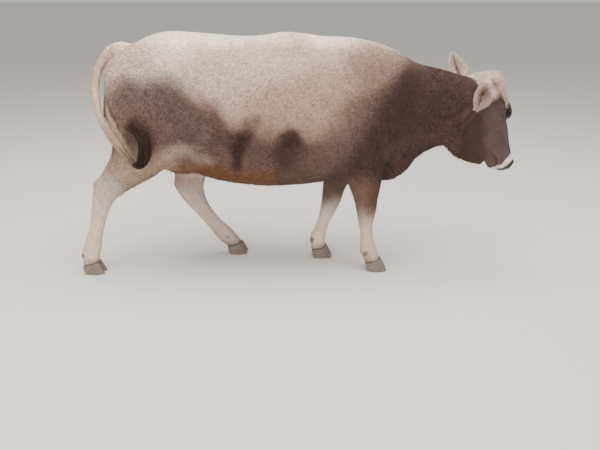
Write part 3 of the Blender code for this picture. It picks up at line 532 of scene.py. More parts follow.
def ear_sense(points):
    """Where points are on the ears: their share along, place across (-1 to 1), the way that the ear opens,
    its way ahead, and whether they are on one."""
    count = len(points)
    best = np.full(count, 1e9)
    place = EarPlace(
        np.zeros(count), np.zeros(count), np.zeros((count, 3)), np.zeros((count, 3)), np.zeros(count, bool))
    for rings in EAR_RINGS.values():
        for t, centre, ahead, up, across, half, depth in rings:
            rel = points - np.array(centre)
            lengthwise = np.abs(rel @ np.array(ahead))
            wide = rel @ np.array(across) / half
            deep = rel @ np.array(up) / max(depth, 0.008)
            score = lengthwise + 0.004 * np.maximum(np.abs(wide) - 1.1, 0) * 20
            inside = (np.abs(wide) < 1.25) & (np.abs(deep) < 1.4) & (lengthwise < 0.012)
            closer = inside & (score < best)
            best[closer] = score[closer]
            place.share[closer] = t
            place.across[closer] = wide[closer]
            place.up[closer] = np.array(up)
            place.ahead[closer] = np.array(ahead)
            place.on[closer] = True
    return place._replace(on=place.on & (place.share > 0.2))


def join_ears(skin):
    for side in EARS:
        cup = ear_cup(side)
        modify(skin, "BOOLEAN", operation="UNION", solver="MANIFOLD", object=cup)
        bpy.data.objects.remove(cup, do_unlink=True)
    points = points_of(skin.data)
    weight = np.zeros(len(points))
    for rings in EAR_RINGS.values():
        centre = np.array(rings[len(rings) // 5][1])
        weight = np.maximum(weight, bell(norms(points - centre), 0.022))
    move_points(skin.data, spread(points, edges_of(skin.data), 14, weight))


def finer(skin, centre, radius, cuts):
    """Finer triangles where the small forms are."""
    bm = bmesh.new()
    bm.from_mesh(skin.data)
    centre = Vector(centre)
    faces = [f for f in bm.faces if (f.calc_center_median() - centre).length < radius]
    edges = {edge for face in faces for edge in face.edges}
    bmesh.ops.subdivide_edges(bm, edges=list(edges), cuts=cuts, use_grid_fill=True)
    bmesh.ops.triangulate(bm, faces=[f for f in bm.faces if len(f.verts) > 3])
    bm.to_mesh(skin.data)
    bm.free()
    points = points_of(skin.data)
    weight = ramp(radius * 1.05, radius * 0.85, norms(points - np.array(centre)))
    move_points(skin.data, spread(points, edges_of(skin.data), 5, weight))


def eye_frame(side):
    """Centre, along the lids to the muzzle, up to the forehead, and out."""
    look = head_way(sided(EYE_LOOK, side))
    long = head_way((1.0, 0.0, -0.30))
    long = (long - look * long.dot(look)).normalized()
    up = look.cross(long)
    if up.dot(head_way((0, 0, 1))) < 0:
        up = -up
    return HEAD @ sided(EYE_CENTRE, side), long, up, look


def lid_place(points, side):
    """From an eye's centre to each point: the way, its length, its rise in radii, how far it goes out, and
    the place round the eye, which is 1 at the rims of the lids and below 1 in the opening."""
    centre, long, up, look = (np.array(v) for v in eye_frame(side))
    rel = points - centre
    s = rel @ long / EYE_RADIUS / LID_LENGTH
    t = rel @ up / EYE_RADIUS
    place = np.sqrt(s ** 2 + (t / np.where(t > 0, LID_UPPER, LID_LOWER)) ** 2 + 0.15 * np.abs(s) ** 4)
    return rel, norms(rel), t, rel @ look, place


def shape_lids(skin):
    """Opens the eyes and forms their lids; returns the points on the edge of each upper lid."""
    mesh = skin.data
    points = points_of(mesh)
    near = np.zeros(len(points))
    for side in SIDES:
        far = norms(points - np.array(eye_frame(side)[0]))
        round_eye = bell(far - 2.0 * EYE_RADIUS, 0.6 * EYE_RADIUS) * ramp(1.2, 1.5, far / EYE_RADIUS)
        near = np.maximum(near, round_eye)
    points = spread(points, edges_of(mesh), 50, near)
    rims = {}
    for side in SIDES:
        rel, far, t, out, place = lid_place(points, side)
        inner = EYE_RADIUS * SOCKET_DEPTH
        rim = EYE_RADIUS + LID_RIM
        lid = rim + (EYE_RADIUS + LID_SWELL - rim) * ramp(1.04, 1.22, place)
        lid = lid + (far - lid) * ramp(1.20, 1.90, place)
        target = inner + (lid - inner) * ramp(0.95, 1.02, place)
        for height, at, width, above, below in LID_CREASES:
            target += height * bell(place - at, width) * np.where(t > 0, above, below)
        near = (out > 0.15 * EYE_RADIUS) & (far < EYE_RADIUS * 3.2)
        scale = np.where(near, target / np.maximum(far, 1e-6), 1.0)
        points = points + rel * (scale - 1)[:, None]
        rims[side] = points[near & (place > 1.03) & (place < 1.16) & (t > 0.25)]
    move_points(mesh, points)
    return rims


def shape_muzzle(skin):
    """The nostrils with their rims, the line of the mouth, and the lips' edges."""
    mesh = skin.data
    points = points_of(mesh)
    a = in_head(points)
    old_pit = bell(norms(folded(a) - np.array(NOSTRIL)), 0.020)
    chin = bell(norms(a - np.array(CHIN)), 0.045)
    points = spread(points, edges_of(mesh), 26, np.maximum(old_pit, chin))
    move_points(mesh, points)
    normals = normals_of(mesh)
    a = in_head(points)
    curve = np.array(NOSTRIL) + np.array(NOSTRIL_CURVE)
    flat = np.array((1.0, 0.6, 0.6))
    distance, share = along_path(folded(a) * flat, fine_path(curve * flat, 16))
    size = 0.0060 * (0.70 + 0.5 * bell(share - 0.35, 0.3))
    push = -0.0150 * bell(distance, size) + 0.0028 * bell(distance - 0.0115, 0.0036)
    push *= a[:, 0] > 0.40
    line = MOUTH_LEVEL - 0.018 * ramp(0.40, 0.34, a[:, 0])
    mouth = ramp(0.325, 0.345, a[:, 0])
    push -= 0.0045 * bell(a[:, 2] - line, 0.0022) * mouth
    push += 0.0016 * bell(np.abs(a[:, 2] - line) - 0.0065, 0.0030) * mouth
    philtrum = bell(a[:, 1], 0.0018) * ramp(0.455, 0.468, a[:, 0]) * ramp(-0.115, -0.10, a[:, 2])
    push -= 0.0016 * philtrum
    push *= in_sections(points)[:, 0] > 0.90
    move_points(mesh, points + normals * push[:, None])


# Folds, as lines seen from the side: points (x, z), side, depth, width
JAW_LINE = ((0.880, 0.925), (0.816, 0.867), (0.753, 0.821), (0.704, 0.779), (0.655, 0.738))
NECK_BASE = ((0.474, 1.120), (0.454, 1.028), (0.432, 0.904), (0.445, 0.752), (0.470, 0.649))
FLANK = ((-0.532, 0.622), (-0.478, 0.701), (-0.434, 0.778))
FOLDS = [
    (JAW_LINE, -1, 0.0075, 0.016),
    (((0.900, 0.890), (0.846, 0.832), (0.790, 0.782)), -1, 0.0030, 0.009),
    (((0.820, 0.930), (0.760, 0.880), (0.705, 0.835)), -1, 0.0024, 0.010),
    (((0.745, 0.738), (0.764, 0.731), (0.819, 0.694), (0.850, 0.660)), -1, 0.0040, 0.007),
    (((0.444, 0.603), (0.477, 0.576), (0.511, 0.522)), -1, 0.0055, 0.012),
    (((0.290, 0.585), (0.255, 0.545), (0.198, 0.543)), -1, 0.0060, 0.012),
    (FLANK + ((-0.421, 0.854),), -1, 0.0060, 0.022),
    (((0.254, 1.103), (0.222, 0.981), (0.229, 0.857), (0.262, 0.731), (0.254, 0.627)), -1, 0.0055, 0.026),
    (NECK_BASE, -1, 0.0050, 0.022),
    (((-0.732, 1.103), (-0.774, 0.981), (-0.808, 0.857), (-0.847, 0.731)), -1, 0.0050, 0.024),
    (((0.250, 1.100), (0.222, 0.981), (0.200, 0.857), (0.180, 0.731)), 1, 0.0055, 0.026),
    (NECK_BASE, 1, 0.0050, 0.022),
    (FLANK, 1, 0.0060, 0.022),
    (((0.880, 0.955), (0.826, 0.897), (0.763, 0.851)), 1, 0.0065, 0.012),
    (((0.850, 0.985), (0.796, 0.927), (0.743, 0.881)), 1, 0.0050, 0.011),
    (((0.910, 0.915), (0.856, 0.857), (0.803, 0.811)), 1, 0.0050, 0.011),
]
RIBS = [(-0.30 + 0.062 * i, 0.070) for i in range(9)]  # x at mid height, lean
# Rounded forms on both sides: place (x, z), radius, height
FORMS = [
    ((-0.645, 1.150), 0.055, 0.009), ((-0.470, 1.085), 0.075, -0.008), ((-0.920, 1.060), 0.045, 0.005),
    ((0.300, 1.085), 0.055, 0.006), ((0.425, 0.800), 0.060, 0.008), ((-0.500, 0.730), 0.060, 0.006),
    ((0.350, 0.930), 0.060, -0.004),
]


def press_folds(skin):
    mesh = skin.data
    points = points_of(mesh)
    normals = normals_of(mesh)
    p = in_sections(points)
    flat = p[:, [0, 2]]
    push = np.zeros(len(p))
    for line, side, depth, width in FOLDS:
        fine = fine_path([(x, z, 0) for x, z in line], 24)[:, :2]
        distance, share = along_path(flat, fine)
        ends = ramp(0.0, 0.16, share) * ramp(1.0, 0.84, share)
        there = ramp(0.02, 0.07, side * p[:, 1]) * ramp(0.1, 0.4, np.abs(normals[:, 1]))
        push -= depth * bell(distance, width) * ends * there
        push += depth * 0.35 * bell(distance - 2.1 * width, width * 0.8) * ends * there
    seat = ramp(-0.82, -0.95, p[:, 0]) * ramp(0.72, 0.86, p[:, 2]) * ramp(1.12, 1.02, p[:, 2])
    seat = 0.014 * seat * ramp(-0.03, -0.09, p[:, 1]) * ramp(-0.1, -0.6, normals[:, 0])
    push += seat * ramp(0.05, 0.07, along_path(p, TAIL_PATH[2:])[0])
    for place in dewclaws(0.008):
        push += 0.0045 * bell(norms(p - place), 0.011)
    cage = ramp(0.70, 0.80, p[:, 2]) * ramp(1.12, 1.00, p[:, 2]) * ramp(0.05, 0.15, np.abs(p[:, 1]))
    for x, lean in RIBS:
        place = p[:, 0] - x - lean * (p[:, 2] - 0.9) / 0.3
        push += 0.0026 * bell(place, 0.017) * cage
    for (x, z), radius, height in FORMS:
        flank = ramp(0.06, 0.12, np.abs(p[:, 1])) * ramp(0.1, 0.4, np.abs(normals[:, 1]))
        push += height * bell(np.hypot(p[:, 0] - x, p[:, 2] - z), radius) * flank
    points = points + normals * push[:, None]
    # the far buttock's lower corner is rounded off
    corner = ramp(-0.78, -0.97, p[:, 0]) * ramp(0.86, 0.70, p[:, 2]) * ramp(-0.10, 0.02, p[:, 1])
    move_points(mesh, points + np.array((0.050, 0.0, 0.022)) * corner[:, None])


# Markings
THIGH_BAND = (
    (-0.86, 0.985), (-0.80, 0.98), (-0.72, 0.965), (-0.62, 0.93), (-0.56, 0.87), (-0.54, 0.80), (-0.58, 0.72),
)
# The orange-brown colour laid low on the belly, on the tops of the forelegs and under the jaw is painted warm
# light reflected up from the ground.
PALETTE = {name: np.array(value) for name, value in {
    "cream": (0.94, 0.79, 0.70), "pale": (0.66, 0.475, 0.380), "tan": (0.44, 0.295, 0.225),
    "brown": (0.245, 0.155, 0.125), "mid": (0.152, 0.092, 0.076), "dark": (0.057, 0.030, 0.025),
    "umber": (0.078, 0.043, 0.032), "band": (0.118, 0.077, 0.067), "deep": (0.088, 0.047, 0.040),
    "warm_bounce": (0.190, 0.083, 0.034), "patch": (0.036, 0.014, 0.009), "rump": (0.53, 0.400, 0.330),
    "white": (0.70, 0.585, 0.50), "udder": (0.50, 0.36, 0.31), "strand": (0.67, 0.49, 0.37),
    "switch": (0.050, 0.025, 0.016), "face": (0.116, 0.075, 0.066), "warm": (0.84, 0.65, 0.54),
    # the near-black colour for the depths of the nostrils is painted shade
    "ring": (0.88, 0.74, 0.68), "nose": (0.040, 0.030, 0.028), "nostril_shade": (0.006, 0.004, 0.004),
    "horn": (0.20, 0.16, 0.135),
}.items()}


def coat_colour(points, normals):
    """The coat's colour at each point, from where it is on the animal."""
    p, a = in_both(points)
    x, y, z = p[:, 0], p[:, 1], p[:, 2]
    # a little waviness keeps the borders of the markings from looking drawn
    wave = 0.020 * np.sin(9 * x + 5 * z) + 0.012 * np.sin(23 * x - 17 * z + 3 * y)
    wave += 0.006 * np.sin(61 * x + 47 * z)
    u, w = x + wave, z + 0.7 * wave
    colour = np.tile(PALETTE["tan"], (len(p), 1))

    def lay(name, amount):
        nonlocal colour
        colour = colour + (PALETTE[name] - colour) * np.clip(amount, 0, 1)[:, None]

    def spot(cx, cz, rx, rz, soft=0.5, lean=0.0):
        dx = u - cx - lean * (w - cz)
        d = np.sqrt((dx / rx) ** 2 + ((w - cz) / rz) ** 2)
        return 1 - ramp(1 - soft, 1 + soft, d)

    def streak(line, width, soft=0.6):
        return 1 - ramp(1 - soft, 1 + soft, along_path(np.stack([u, w], axis=1), line)[0] / width)

    lay("brown", ramp(0.93, 0.74, w))
    # paler towards the top: partly the coat's own colour and partly painted light from above
    lay("pale", ramp(0.96, 1.14, w) * ramp(0.36, 0.10, u))
    lay("rump", spot(-0.60, 1.10, 0.34, 0.14) * 0.8)
    lay("cream", spot(-0.60, 1.15, 0.13, 0.08) * 0.55)
    lay("pale", spot(-0.38, 1.04, 0.15, 0.15) * 0.55)
    lay("tan", spot(0.12, 0.96, 0.17, 0.20) * 0.9)
    lay("tan", spot(-0.04, 1.20, 0.10, 0.06) * 0.6)
    lay("umber", ramp(0.06, -0.08, w - 0.81 - 0.14 * ramp(-0.24, -0.40, u)) * ramp(0.02, -0.14, u) * 0.92)
    lay("mid", spot(-0.64, 0.85, 0.20, 0.19) * 0.9)
    lay("mid", ramp(0.78, 0.64, w) * ramp(-0.74, -0.62, u))
    lay("brown", spot(-0.90, 0.90, 0.10, 0.14) * 0.5)
    lay("band", streak(THIGH_BAND, 0.066, 0.8) * 0.9)
    lay("rump", streak(((-0.74, 0.655), (-0.66, 0.685), (-0.57, 0.690), (-0.48, 0.655)), 0.030, 0.95) * 0.40)
    lay("rump", spot(-0.84, 0.65, 0.08, 0.08) * 0.5)
    # painted warm light reflected up from below, low on the body
    lay("warm_bounce", ramp(0.68, 0.54, w) * ramp(-0.78, -0.60, u))
    lay("tan", ramp(0.76, 0.64, w) * ramp(-0.60, -0.72, u) * 0.75)
    lay("patch", streak(((-0.225, 0.86), (-0.260, 0.80)), 0.038, 0.8) * 0.55)
    lay("patch", streak(((-0.265, 0.79), (-0.298, 0.73), (-0.305, 0.65)), 0.038, 0.6) * 0.9)
    lay("patch", streak(((-0.062, 0.79), (-0.06, 0.74)), 0.034, 0.6) * 0.85)
    lay("patch", spot(-0.05, 0.69, 0.065, 0.075, 0.6) * 0.9)
    lay("umber", spot(0.04, 0.66, 0.16, 0.08) * 0.8)
    lay("mid", ramp(0.10, 0.30, u + (0.90 - w) * 0.80) * ramp(1.12, 0.96, w) * 0.9)
    lay("dark", ramp(0.28, 0.45, u + (0.90 - w) * 0.55) * ramp(1.22, 1.06, w))
    lay("brown", spot(0.36, 1.13, 0.14, 0.07) * 0.7)
    lay("dark", ramp(0.46, 0.60, u))
    lay("deep", ramp(0.48, 0.62, u) * ramp(0.88, 0.66, w) * 0.8)
    lay("mid", spot(0.52, 0.68, 0.07, 0.07) * 0.3)
    lay("tan", ramp(1.06, 1.14, w) * ramp(0.47, 0.52, u) * ramp(0.95, 0.80, u) * 0.2)
    hind = ramp(-0.2, -0.3, x)
    lay("white", ramp(0.50, 0.36, w) * hind)
    lay("cream", ramp(0.42, 0.26, w) * hind * 0.5)
    lay("white", ramp(0.66, 0.50, w) * ramp(-0.84, -0.94, u) * 0.6)
    lay("rump", ramp(0.62, 0.50, w) * hind * ramp(0.02, 0.08, y) * 0.5)
    fore = 1 - hind
    lay("mid", ramp(0.62, 0.52, w) * fore * 0.25)
    # painted warm light reflected up from below, on the tops of the forelegs
    lay("warm_bounce", ramp(0.56, 0.48, w) * fore * 0.25)
    lay("brown", ramp(0.58, 0.46, w) * fore * ramp(0.40, 0.33, x) * 0.35)
    lay("white", ramp(0.40, 0.26, w) * fore * 0.9)
    # painted light on the lower part of the far foreleg, which stands in the shade under the body
    lay("cream", ramp(0.36, 0.22, w) * fore * ramp(0.0, 0.05, y) * 0.8)
    # the cream back and the narrow pale line along the spine: the coat's own paler back with painted light
    # from above on it
    back = ramp(1.185, 1.245, z + 0.4 * wave) * ramp(0.40, 0.16, u)
    lay("cream", back * (1 - 0.5 * spot(-0.04, 1.22, 0.10, 0.05)))
    lay("cream", bell(y, 0.05) * ramp(1.10, 1.16, z) * ramp(0.55, 0.35, u) * 0.5)
    # the hair over the coronets is darker, and the dewclaws are horn
    lay("tan", ramp(0.115, 0.095, z) * 0.55)
    for place in dewclaws(0.004):
        lay("horn", ramp(0.019, 0.015, norms(p - place)))
    bag = ramp(0.655, 0.625, z) * ramp(0.13, 0.10, np.abs(y)) * ramp(-0.72, -0.68, x) * ramp(-0.42, -0.46, x)
    lay("udder", bag * ramp(0.44, 0.48, z))
    # head
    down, out = a[:, 0] + 0.4 * wave, a[:, 2]
    head = head_part(p, a).astype(float)
    # painted shade on the underside of the head, under the jaw
    lay("deep", head * ramp(-0.13, -0.20, out) * 0.7)
    lay("face", head * ramp(0.06, 0.12, down) * ramp(-0.24, -0.12, out))
    lay("tan", head * bell(out + 0.035, 0.018) * bell(down - 0.30, 0.07) * 0.10)
    # painted warm light reflected up from below, under the jaw
    lay("warm_bounce", head * bell(out + 0.20, 0.035) * ramp(0.10, 0.16, down) * 0.2)
    # painted shade under the jaw
    lay("dark", head * ramp(-0.14, -0.19, out) * ramp(0.06, 0.12, down) * 0.8)
    # painted shade along the fold behind the jaw
    lay("deep", streak(JAW_LINE, 0.016, 0.8) * ramp(0.60, 0.68, x) * 0.6)
    lay("ring", head * ramp(0.420, 0.429, down_muzzle(a) + 0.3 * wave))
    nose = nose_part(points)
    lay("nose", nose)
    # painted shade deep in each nostril
    hole = folded(a) - np.array(NOSTRIL) - np.array((-0.004, 0, 0))
    lay("nostril_shade", nose * ramp(0.016, 0.008, norms(hole)))
    lay("nose", head * bell(out - MOUTH_LEVEL + 0.004, 0.006) * ramp(0.36, 0.40, a[:, 0]) * 0.5)
    lay("warm", head * ramp(0.090, 0.040, down) * ramp(-0.125, -0.075, out) * 0.85)
    for side in SIDES:
        _, far, _, ahead, place = lid_place(points, side)
        close = (far < 0.06) & (ahead > 0)
        lay("deep", close * ramp(1.45, 1.05, place) * 0.7)
        lay("nose", close * ramp(1.06, 0.98, place) * 0.9)
    # ears: pale, with a dark hollow
    ear = ear_sense(points)
    inner = ramp(0.0, 0.4, np.sum(normals * ear.up, axis=1)) * ear.on
    lay("rump", ear.on * ramp(0.20, 0.36, ear.share) * 0.9)
    lay("warm", ear.on * ramp(0.60, 0.90, np.abs(ear.across)) * 0.7)
    lay("deep", inner * ramp(0.46, 0.18, np.abs(ear.across)) * ramp(0.25, 0.40, ear.share)
        * ramp(0.98, 0.85, ear.share) * 0.9)
    # tail
    distance, share = along_path(p, TAIL_PATH)
    tail = ramp(0.060, 0.045, distance) * ramp(0.16, 0.24, share)
    lay("strand", tail)
    lay("switch", tail * ramp(0.96, 1.0, share) * 0.6)
    grain = 1 + 0.05 * np.sin(37 * x + 11 * y) * np.sin(41 * z - 13 * y) + 0.04 * np.sin(97 * x + 71 * z)
    return np.clip(colour * grain[:, None], 0, 1)


def nose_part(points):
    """1 on the bare nose pad."""
    p, a = in_both(points)
    return head_part(p, a) * ramp(0.446, 0.453, down_muzzle(a)) * ramp(-0.118, -0.106, a[:, 2])


def paint(mesh, colours):
    layer = mesh.color_attributes.new("coat_colour", "FLOAT_COLOR", "POINT")
    rgba = np.ones((len(mesh.vertices), 4), np.float32)
    rgba[:, :3] = colours
    layer.data.foreach_set("color", rgba.ravel())


# Materials
def node(tree, kind, inputs=None, **settings):
    made = tree.nodes.new("ShaderNode" + kind)
    for name, value in settings.items():
        setattr(made, name, value)
    for name, value in (inputs or {}).items():
        made.inputs[name].default_value = value
    return made


def wire(tree, *wires):
    """Links in the tree, each as a node, its output, the next node and its input."""
    for source, output, target, socket in wires:
        tree.links.new(source.outputs[output], target.inputs[socket])


def new_material(name, inputs):
    """A material with values for its shader's inputs; returned with its tree and shader."""
    made = bpy.data.materials.new(name)
    made.use_nodes = True
    shader = made.node_tree.nodes["Principled BSDF"]
    for socket, value in inputs.items():
        shader.inputs[socket].default_value = value
    return made, made.node_tree, shader


def coloured_material(name, roughness, specular):
    """A material that takes its colour from the mesh."""
    made, tree, shader = new_material(name, {"Roughness": roughness, "Specular IOR Level": specular})
    colour = node(tree, "Attribute", attribute_name="coat_colour")
    wire(tree, (colour, "Color", shader, "Base Color"))
    return made


def skin_material():
    """The coat's colour with a fine mottle, a bump of short hair along its lie, and the nose's grain."""
    dry, moist = 0.72, 0.34
    made = coloured_material("skin_coat", dry, 0.2)
    tree = made.node_tree
    shader, colour = tree.nodes["Principled BSDF"], tree.nodes["Attribute"]
    place = node(tree, "TexCoord")
    turned = node(tree, "Mapping", {"Rotation": (0, math.radians(-38), 0), "Scale": (70, 420, 420)})
    hair = node(tree, "TexNoise", {"Scale": 1.0, "Detail": 3.0})
    mottle = node(tree, "MapRange", {"To Min": 0.76, "To Max": 1.16})
    mixed = node(tree, "VectorMath", operation="SCALE")
    bump = node(tree, "Bump", {"Strength": 0.5, "Distance": 0.002})
    wet = node(tree, "Attribute", attribute_name="wet")
    grain = node(tree, "TexVoronoi", {"Scale": 330})
    height = node(tree, "Mix")
    gloss = node(tree, "MapRange", {"To Min": dry, "To Max": moist})
    wire(
        tree,
        (place, "Object", turned, "Vector"), (turned, "Vector", hair, "Vector"),
        (hair, "Fac", mottle, "Value"), (colour, "Color", mixed, 0),
        (mottle, "Result", mixed, "Scale"), (mixed, "Vector", shader, "Base Color"),
        (place, "Object", grain, "Vector"), (wet, "Fac", height, "Factor"),
        (hair, "Fac", height, "A"), (grain, "Distance", height, "B"),
        (height, "Result", bump, "Height"), (bump, "Normal", shader, "Normal"),
        (wet, "Fac", gloss, "Value"), (gloss, "Result", shader, "Roughness"),
    )
    return made


def horn_material():
    made, tree, shader = new_material("hoof_horn", {"Roughness": 0.55})
    place = node(tree, "TexCoord")
    turned = node(tree, "Mapping", {"Scale": (380, 380, 34)})
    streaks = node(tree, "TexNoise", {"Scale": 1.0, "Detail": 4.0})
    shades = node(tree, "ValToRGB")
    stops = ((0.32, (0.125, 0.098, 0.080, 1)), (0.72, (0.27, 0.22, 0.18, 1)))
    for element, (position, colour) in zip(shades.color_ramp.elements, stops):
        element.position = position
        element.color = colour
    wire(tree, (place, "Object", turned, "Vector"), (turned, "Vector", streaks, "Vector"),
         (streaks, "Fac", shades, "Fac"), (shades, "Color", shader, "Base Color"))
    return made


# Solid pieces of hair
def coat_piece(name, points, faces, colours, spots, material):
    """One object of hair, from each hair's points, colours and spot on the unwrap, and the faces of one."""
    count, each = points.shape[:2]
    corners = (faces[None, :, :] + (np.arange(count) * each)[:, None, None]).reshape(-1)
    obj = triangle_mesh(name, points.reshape(-1, 3), corners)
    mesh = obj.data
    paint(mesh, colours.reshape(-1, 3))
    angle = np.arange(each) * 2.4
    uv = spots[:, None, :] + (np.stack([np.cos(angle), np.sin(angle)], axis=1) * HAIR_PATCH)[None, :, :]
    layer = mesh.uv_layers.new(name="OFBake")
    layer.data.foreach_set("uv", uv.reshape(-1, 2)[corners].astype(np.float32).ravel())
    mesh.materials.append(material)
    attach(obj, BODY)
    return obj


# A short flat hair: its points are left, right, ridge and tip
BLADE = np.array(((0, 1, 3), (0, 3, 2), (1, 2, 3), (0, 2, 1)))
# painted shade at the root and painted light at the tip of each short hair, for depth in the coat
BLADE_PAINTED_SHADING = np.array((0.94, 0.94, 1.01, 1.08))
BLADE_SUNK = 0.28  # of its width


def blades(rng, roots, normals, ways, lengths, widths, colours, lifts):
    """Short flat hairs: points and colours of a thin wedge for each, with its root sunk into the skin."""
    across = unit(np.cross(normals, ways))
    turn = rng.normal(0, 0.16, len(roots)) + 0.13 * np.sin(roots[:, 0] * 57 + roots[:, 2] * 43)
    ways = unit(ways * np.cos(turn)[:, None] + across * np.sin(turn)[:, None])
    across = unit(np.cross(normals, ways))
    lift = rng.uniform(0.3, 1.0, len(roots)) * lifts
    lengths = lengths * rng.uniform(0.75, 1.2, len(roots))
    widths = widths * rng.uniform(0.8, 1.2, len(roots))
    sunk = roots - normals * (widths * BLADE_SUNK)[:, None]
    left = sunk - across * (widths / 2)[:, None]
    right = sunk + across * (widths / 2)[:, None]
    ridge = roots + normals * (0.0002 + widths * 0.13)[:, None] + ways * (lengths * 0.22)[:, None]
    tip = roots + ways * (lengths * np.cos(lift))[:, None] + normals * (lengths * np.sin(lift))[:, None]
    points = np.stack([left, right, ridge, tip], axis=1)
    shade = rng.normal(1, 0.085, len(roots))
    # each short hair painted darker at its root and lighter at its tip: painted shade and light
    tinted = colours[:, None, :] * BLADE_PAINTED_SHADING[None, :, None] * shade[:, None, None]
    return points, np.clip(tinted, 0, 1)


def lock_piece(name, points, colours, spots, material):
    """One object of long hairs, each of three-sided rings that end in a point."""
    rings = points.shape[1] // 3
    faces = [(0, 2, 1)]
    for i in range(rings):
        for k in range(3):
            a, b = 3 * i + k, 3 * i + (k + 1) % 3
            faces += [(a, b, b + 3), (a, b + 3, a + 3)] if i < rings - 1 else [(a, b, 3 * rings)]
    return coat_piece(name, points, np.array(faces), colours, spots, material)


def locks(rng, paths, across, widths, colours, tip_tone=1.12, root_shade=0.78):
    """Long hairs along the paths: points and colours of a three-sided taper for each."""
    count, stations = paths.shape[:2]
    ahead = unit(np.gradient(paths, axis=1))
    side = across[:, None, :] - ahead * np.sum(across[:, None, :] * ahead, axis=2, keepdims=True)
    side = unit(side)
    over = np.cross(ahead, side)
    rings = stations - 1
    taper = np.array([(0.8 + 0.35 * math.sin(math.pi * 0.8 * i / rings)) * (1 - 0.6 * (i / rings) ** 2)
                      for i in range(rings)])
    half = widths[:, None] * taper[None, :] / 2
    points = np.empty((count, 3 * rings + 1, 3))
    for i in range(rings):
        h = half[:, i][:, None]
        points[:, 3 * i] = paths[:, i] - side[:, i] * h
        points[:, 3 * i + 1] = paths[:, i] - over[:, i] * h * LOCK_DEPTH * 2
        points[:, 3 * i + 2] = paths[:, i] + side[:, i] * h
    points[:, -1] = paths[:, -1]
    # painted shade darkens each long hair towards its root
    tones = np.concatenate([np.repeat(np.linspace(root_shade, 1.0, rings), 3), [tip_tone]])
    shade = rng.normal(1, 0.09, count)
    tinted = colours[:, None, :] * tones[None, :, None] * shade[:, None, None]
    return points, np.clip(tinted, 0, 1)


def scatter(rng, mesh, density):
    """Random places on the mesh, so many to a square metre, with their normals."""
    points, normals = points_of(mesh), normals_of(mesh)
    corners = triangles_of(mesh)
    a, b, c = (points[corners[:, i]] for i in range(3))
    area = norms(np.cross(b - a, c - a)) / 2
    weight = area * density(points, normals)[corners].mean(axis=1)
    count = int(weight.sum())
    pick = rng.choice(len(corners), count, p=weight / weight.sum())
    s, t = rng.random(count), rng.random(count)
    over = s + t > 1
    s, t = np.where(over, 1 - s, s), np.where(over, 1 - t, t)
    share = np.stack([1 - s - t, s, t], axis=1)[:, :, None]
    places = (points[corners[pick]] * share).sum(axis=1)
    ways = unit((normals[corners[pick]] * share).sum(axis=1))
    return places, ways


def lie_of(points, normals):
    """The way the hair lies at each point."""
    p, a = in_both(points)
    x, z = p[:, 0], p[:, 2]
    way = np.tile(np.array((-0.80, 0.0, -0.55)), (len(p), 1))

    def turn(to, amount):
        nonlocal way
        way = way + (np.asarray(to) - way) * np.clip(amount, 0, 1)[:, None]

    turn((-1.0, 0.0, -0.06), ramp(1.05, 1.18, z) * ramp(0.9, 0.7, x))
    turn((-0.45, 0.0, -0.85), ramp(-0.45, -0.65, x) * ramp(1.05, 0.90, z))
    turn((-0.10, 0.0, -1.0), ramp(0.60, 0.46, z))
    turn((-0.75, 0.0, -0.60), ramp(0.40, 0.55, x) * ramp(0.55, 0.62, z))
    turn((0.3, 0.0, -0.9), ramp(-0.92, -0.98, x) * ramp(0.60, 0.70, z))
    face, aside = np.array(head_way((1, 0, 0))), np.array(head_way((0, 1, 0)))
    head = head_part(p, a).astype(float)
    turn(face, head * ramp(0.03, 0.09, a[:, 0]) * ramp(-0.30, -0.20, a[:, 2]))
    sideways = face[None, :] * 0.6 + aside[None, :] * np.sign(a[:, 1])[:, None] * 0.8
    turn(sideways, head * ramp(0.10, 0.03, a[:, 0]) * ramp(-0.12, -0.06, a[:, 2]))
    ear = ear_sense(points)
    way = np.where(ear.on[:, None], ear.ahead, way)
    tail, share = tail_part(p)
    steps = np.gradient(TAIL_PATH, axis=0)
    flow = np.stack([np.interp(share, np.linspace(0, 1, len(steps)), steps[:, i]) for i in range(3)], axis=1)
    way = np.where(tail[:, None], unit(flow), way)
    way = way - normals * np.sum(way * normals, axis=1, keepdims=True)
    return unit(way + 1e-6)


def bare(points):
    """1 where no hair grows: the nose, the mouth's line, the lids' rims, the dewclaws and the horn; 0.9 on
    the udder."""
    p, a = in_both(points)
    face = head_part(p, a, down=0.2)
    none = face * ramp(0.432, 0.444, down_muzzle(a))
    none = np.maximum(none, face * ramp(0.006, 0.003, np.abs(a[:, 2] - MOUTH_LEVEL)) * (a[:, 0] > 0.33))
    for side in SIDES:
        _, far, _, ahead, place = lid_place(points, side)
        none = np.maximum(none, ((far < 0.05) & (ahead > 0)) * ramp(1.14, 1.02, place))
    for place in dewclaws():
        none = np.maximum(none, ramp(0.022, 0.019, norms(p - place)))
    x, aside, z = p[:, 0], np.abs(p[:, 1]), p[:, 2]
    bag = (z < 0.64) & (z > 0.46) & (aside < 0.13) & (x > -0.70) & (x < -0.44)
    return np.maximum(np.maximum(none, ramp(HORN_TOP, HORN_TOP - 0.004, z)), bag * 0.9)


def hair_size(points, normals):
    """Length of the short hair, its width, and hairs to a square metre."""
    p, a = in_both(points)
    trunk = ramp(0.45, 0.60, p[:, 2])
    length = 0.0100 + 0.0085 * trunk
    width = 0.0018 + 0.0010 * trunk
    density = 68000 - 36000 * trunk
    under = ramp(-0.2, -0.7, normals[:, 2]) * ramp(0.45, 0.52, p[:, 2])
    length = length + 0.006 * under
    head = head_part(p, a, 0.86, -0.05).astype(float)
    length = length + (0.0090 - length) * head
    length = length + (0.0050 - length) * head * ramp(0.34, 0.42, a[:, 0])
    width = width + (0.0014 - width) * head
    density = density + (125000 - density) * head
    length = np.where(ear_sense(points).on, 0.012, length)
    tail, _ = tail_part(p)
    length, width = np.where(tail, 0.016, length), np.where(tail, 0.0018, width)
    return length, width, np.where(tail, 90000, density) * (1 - bare(points))


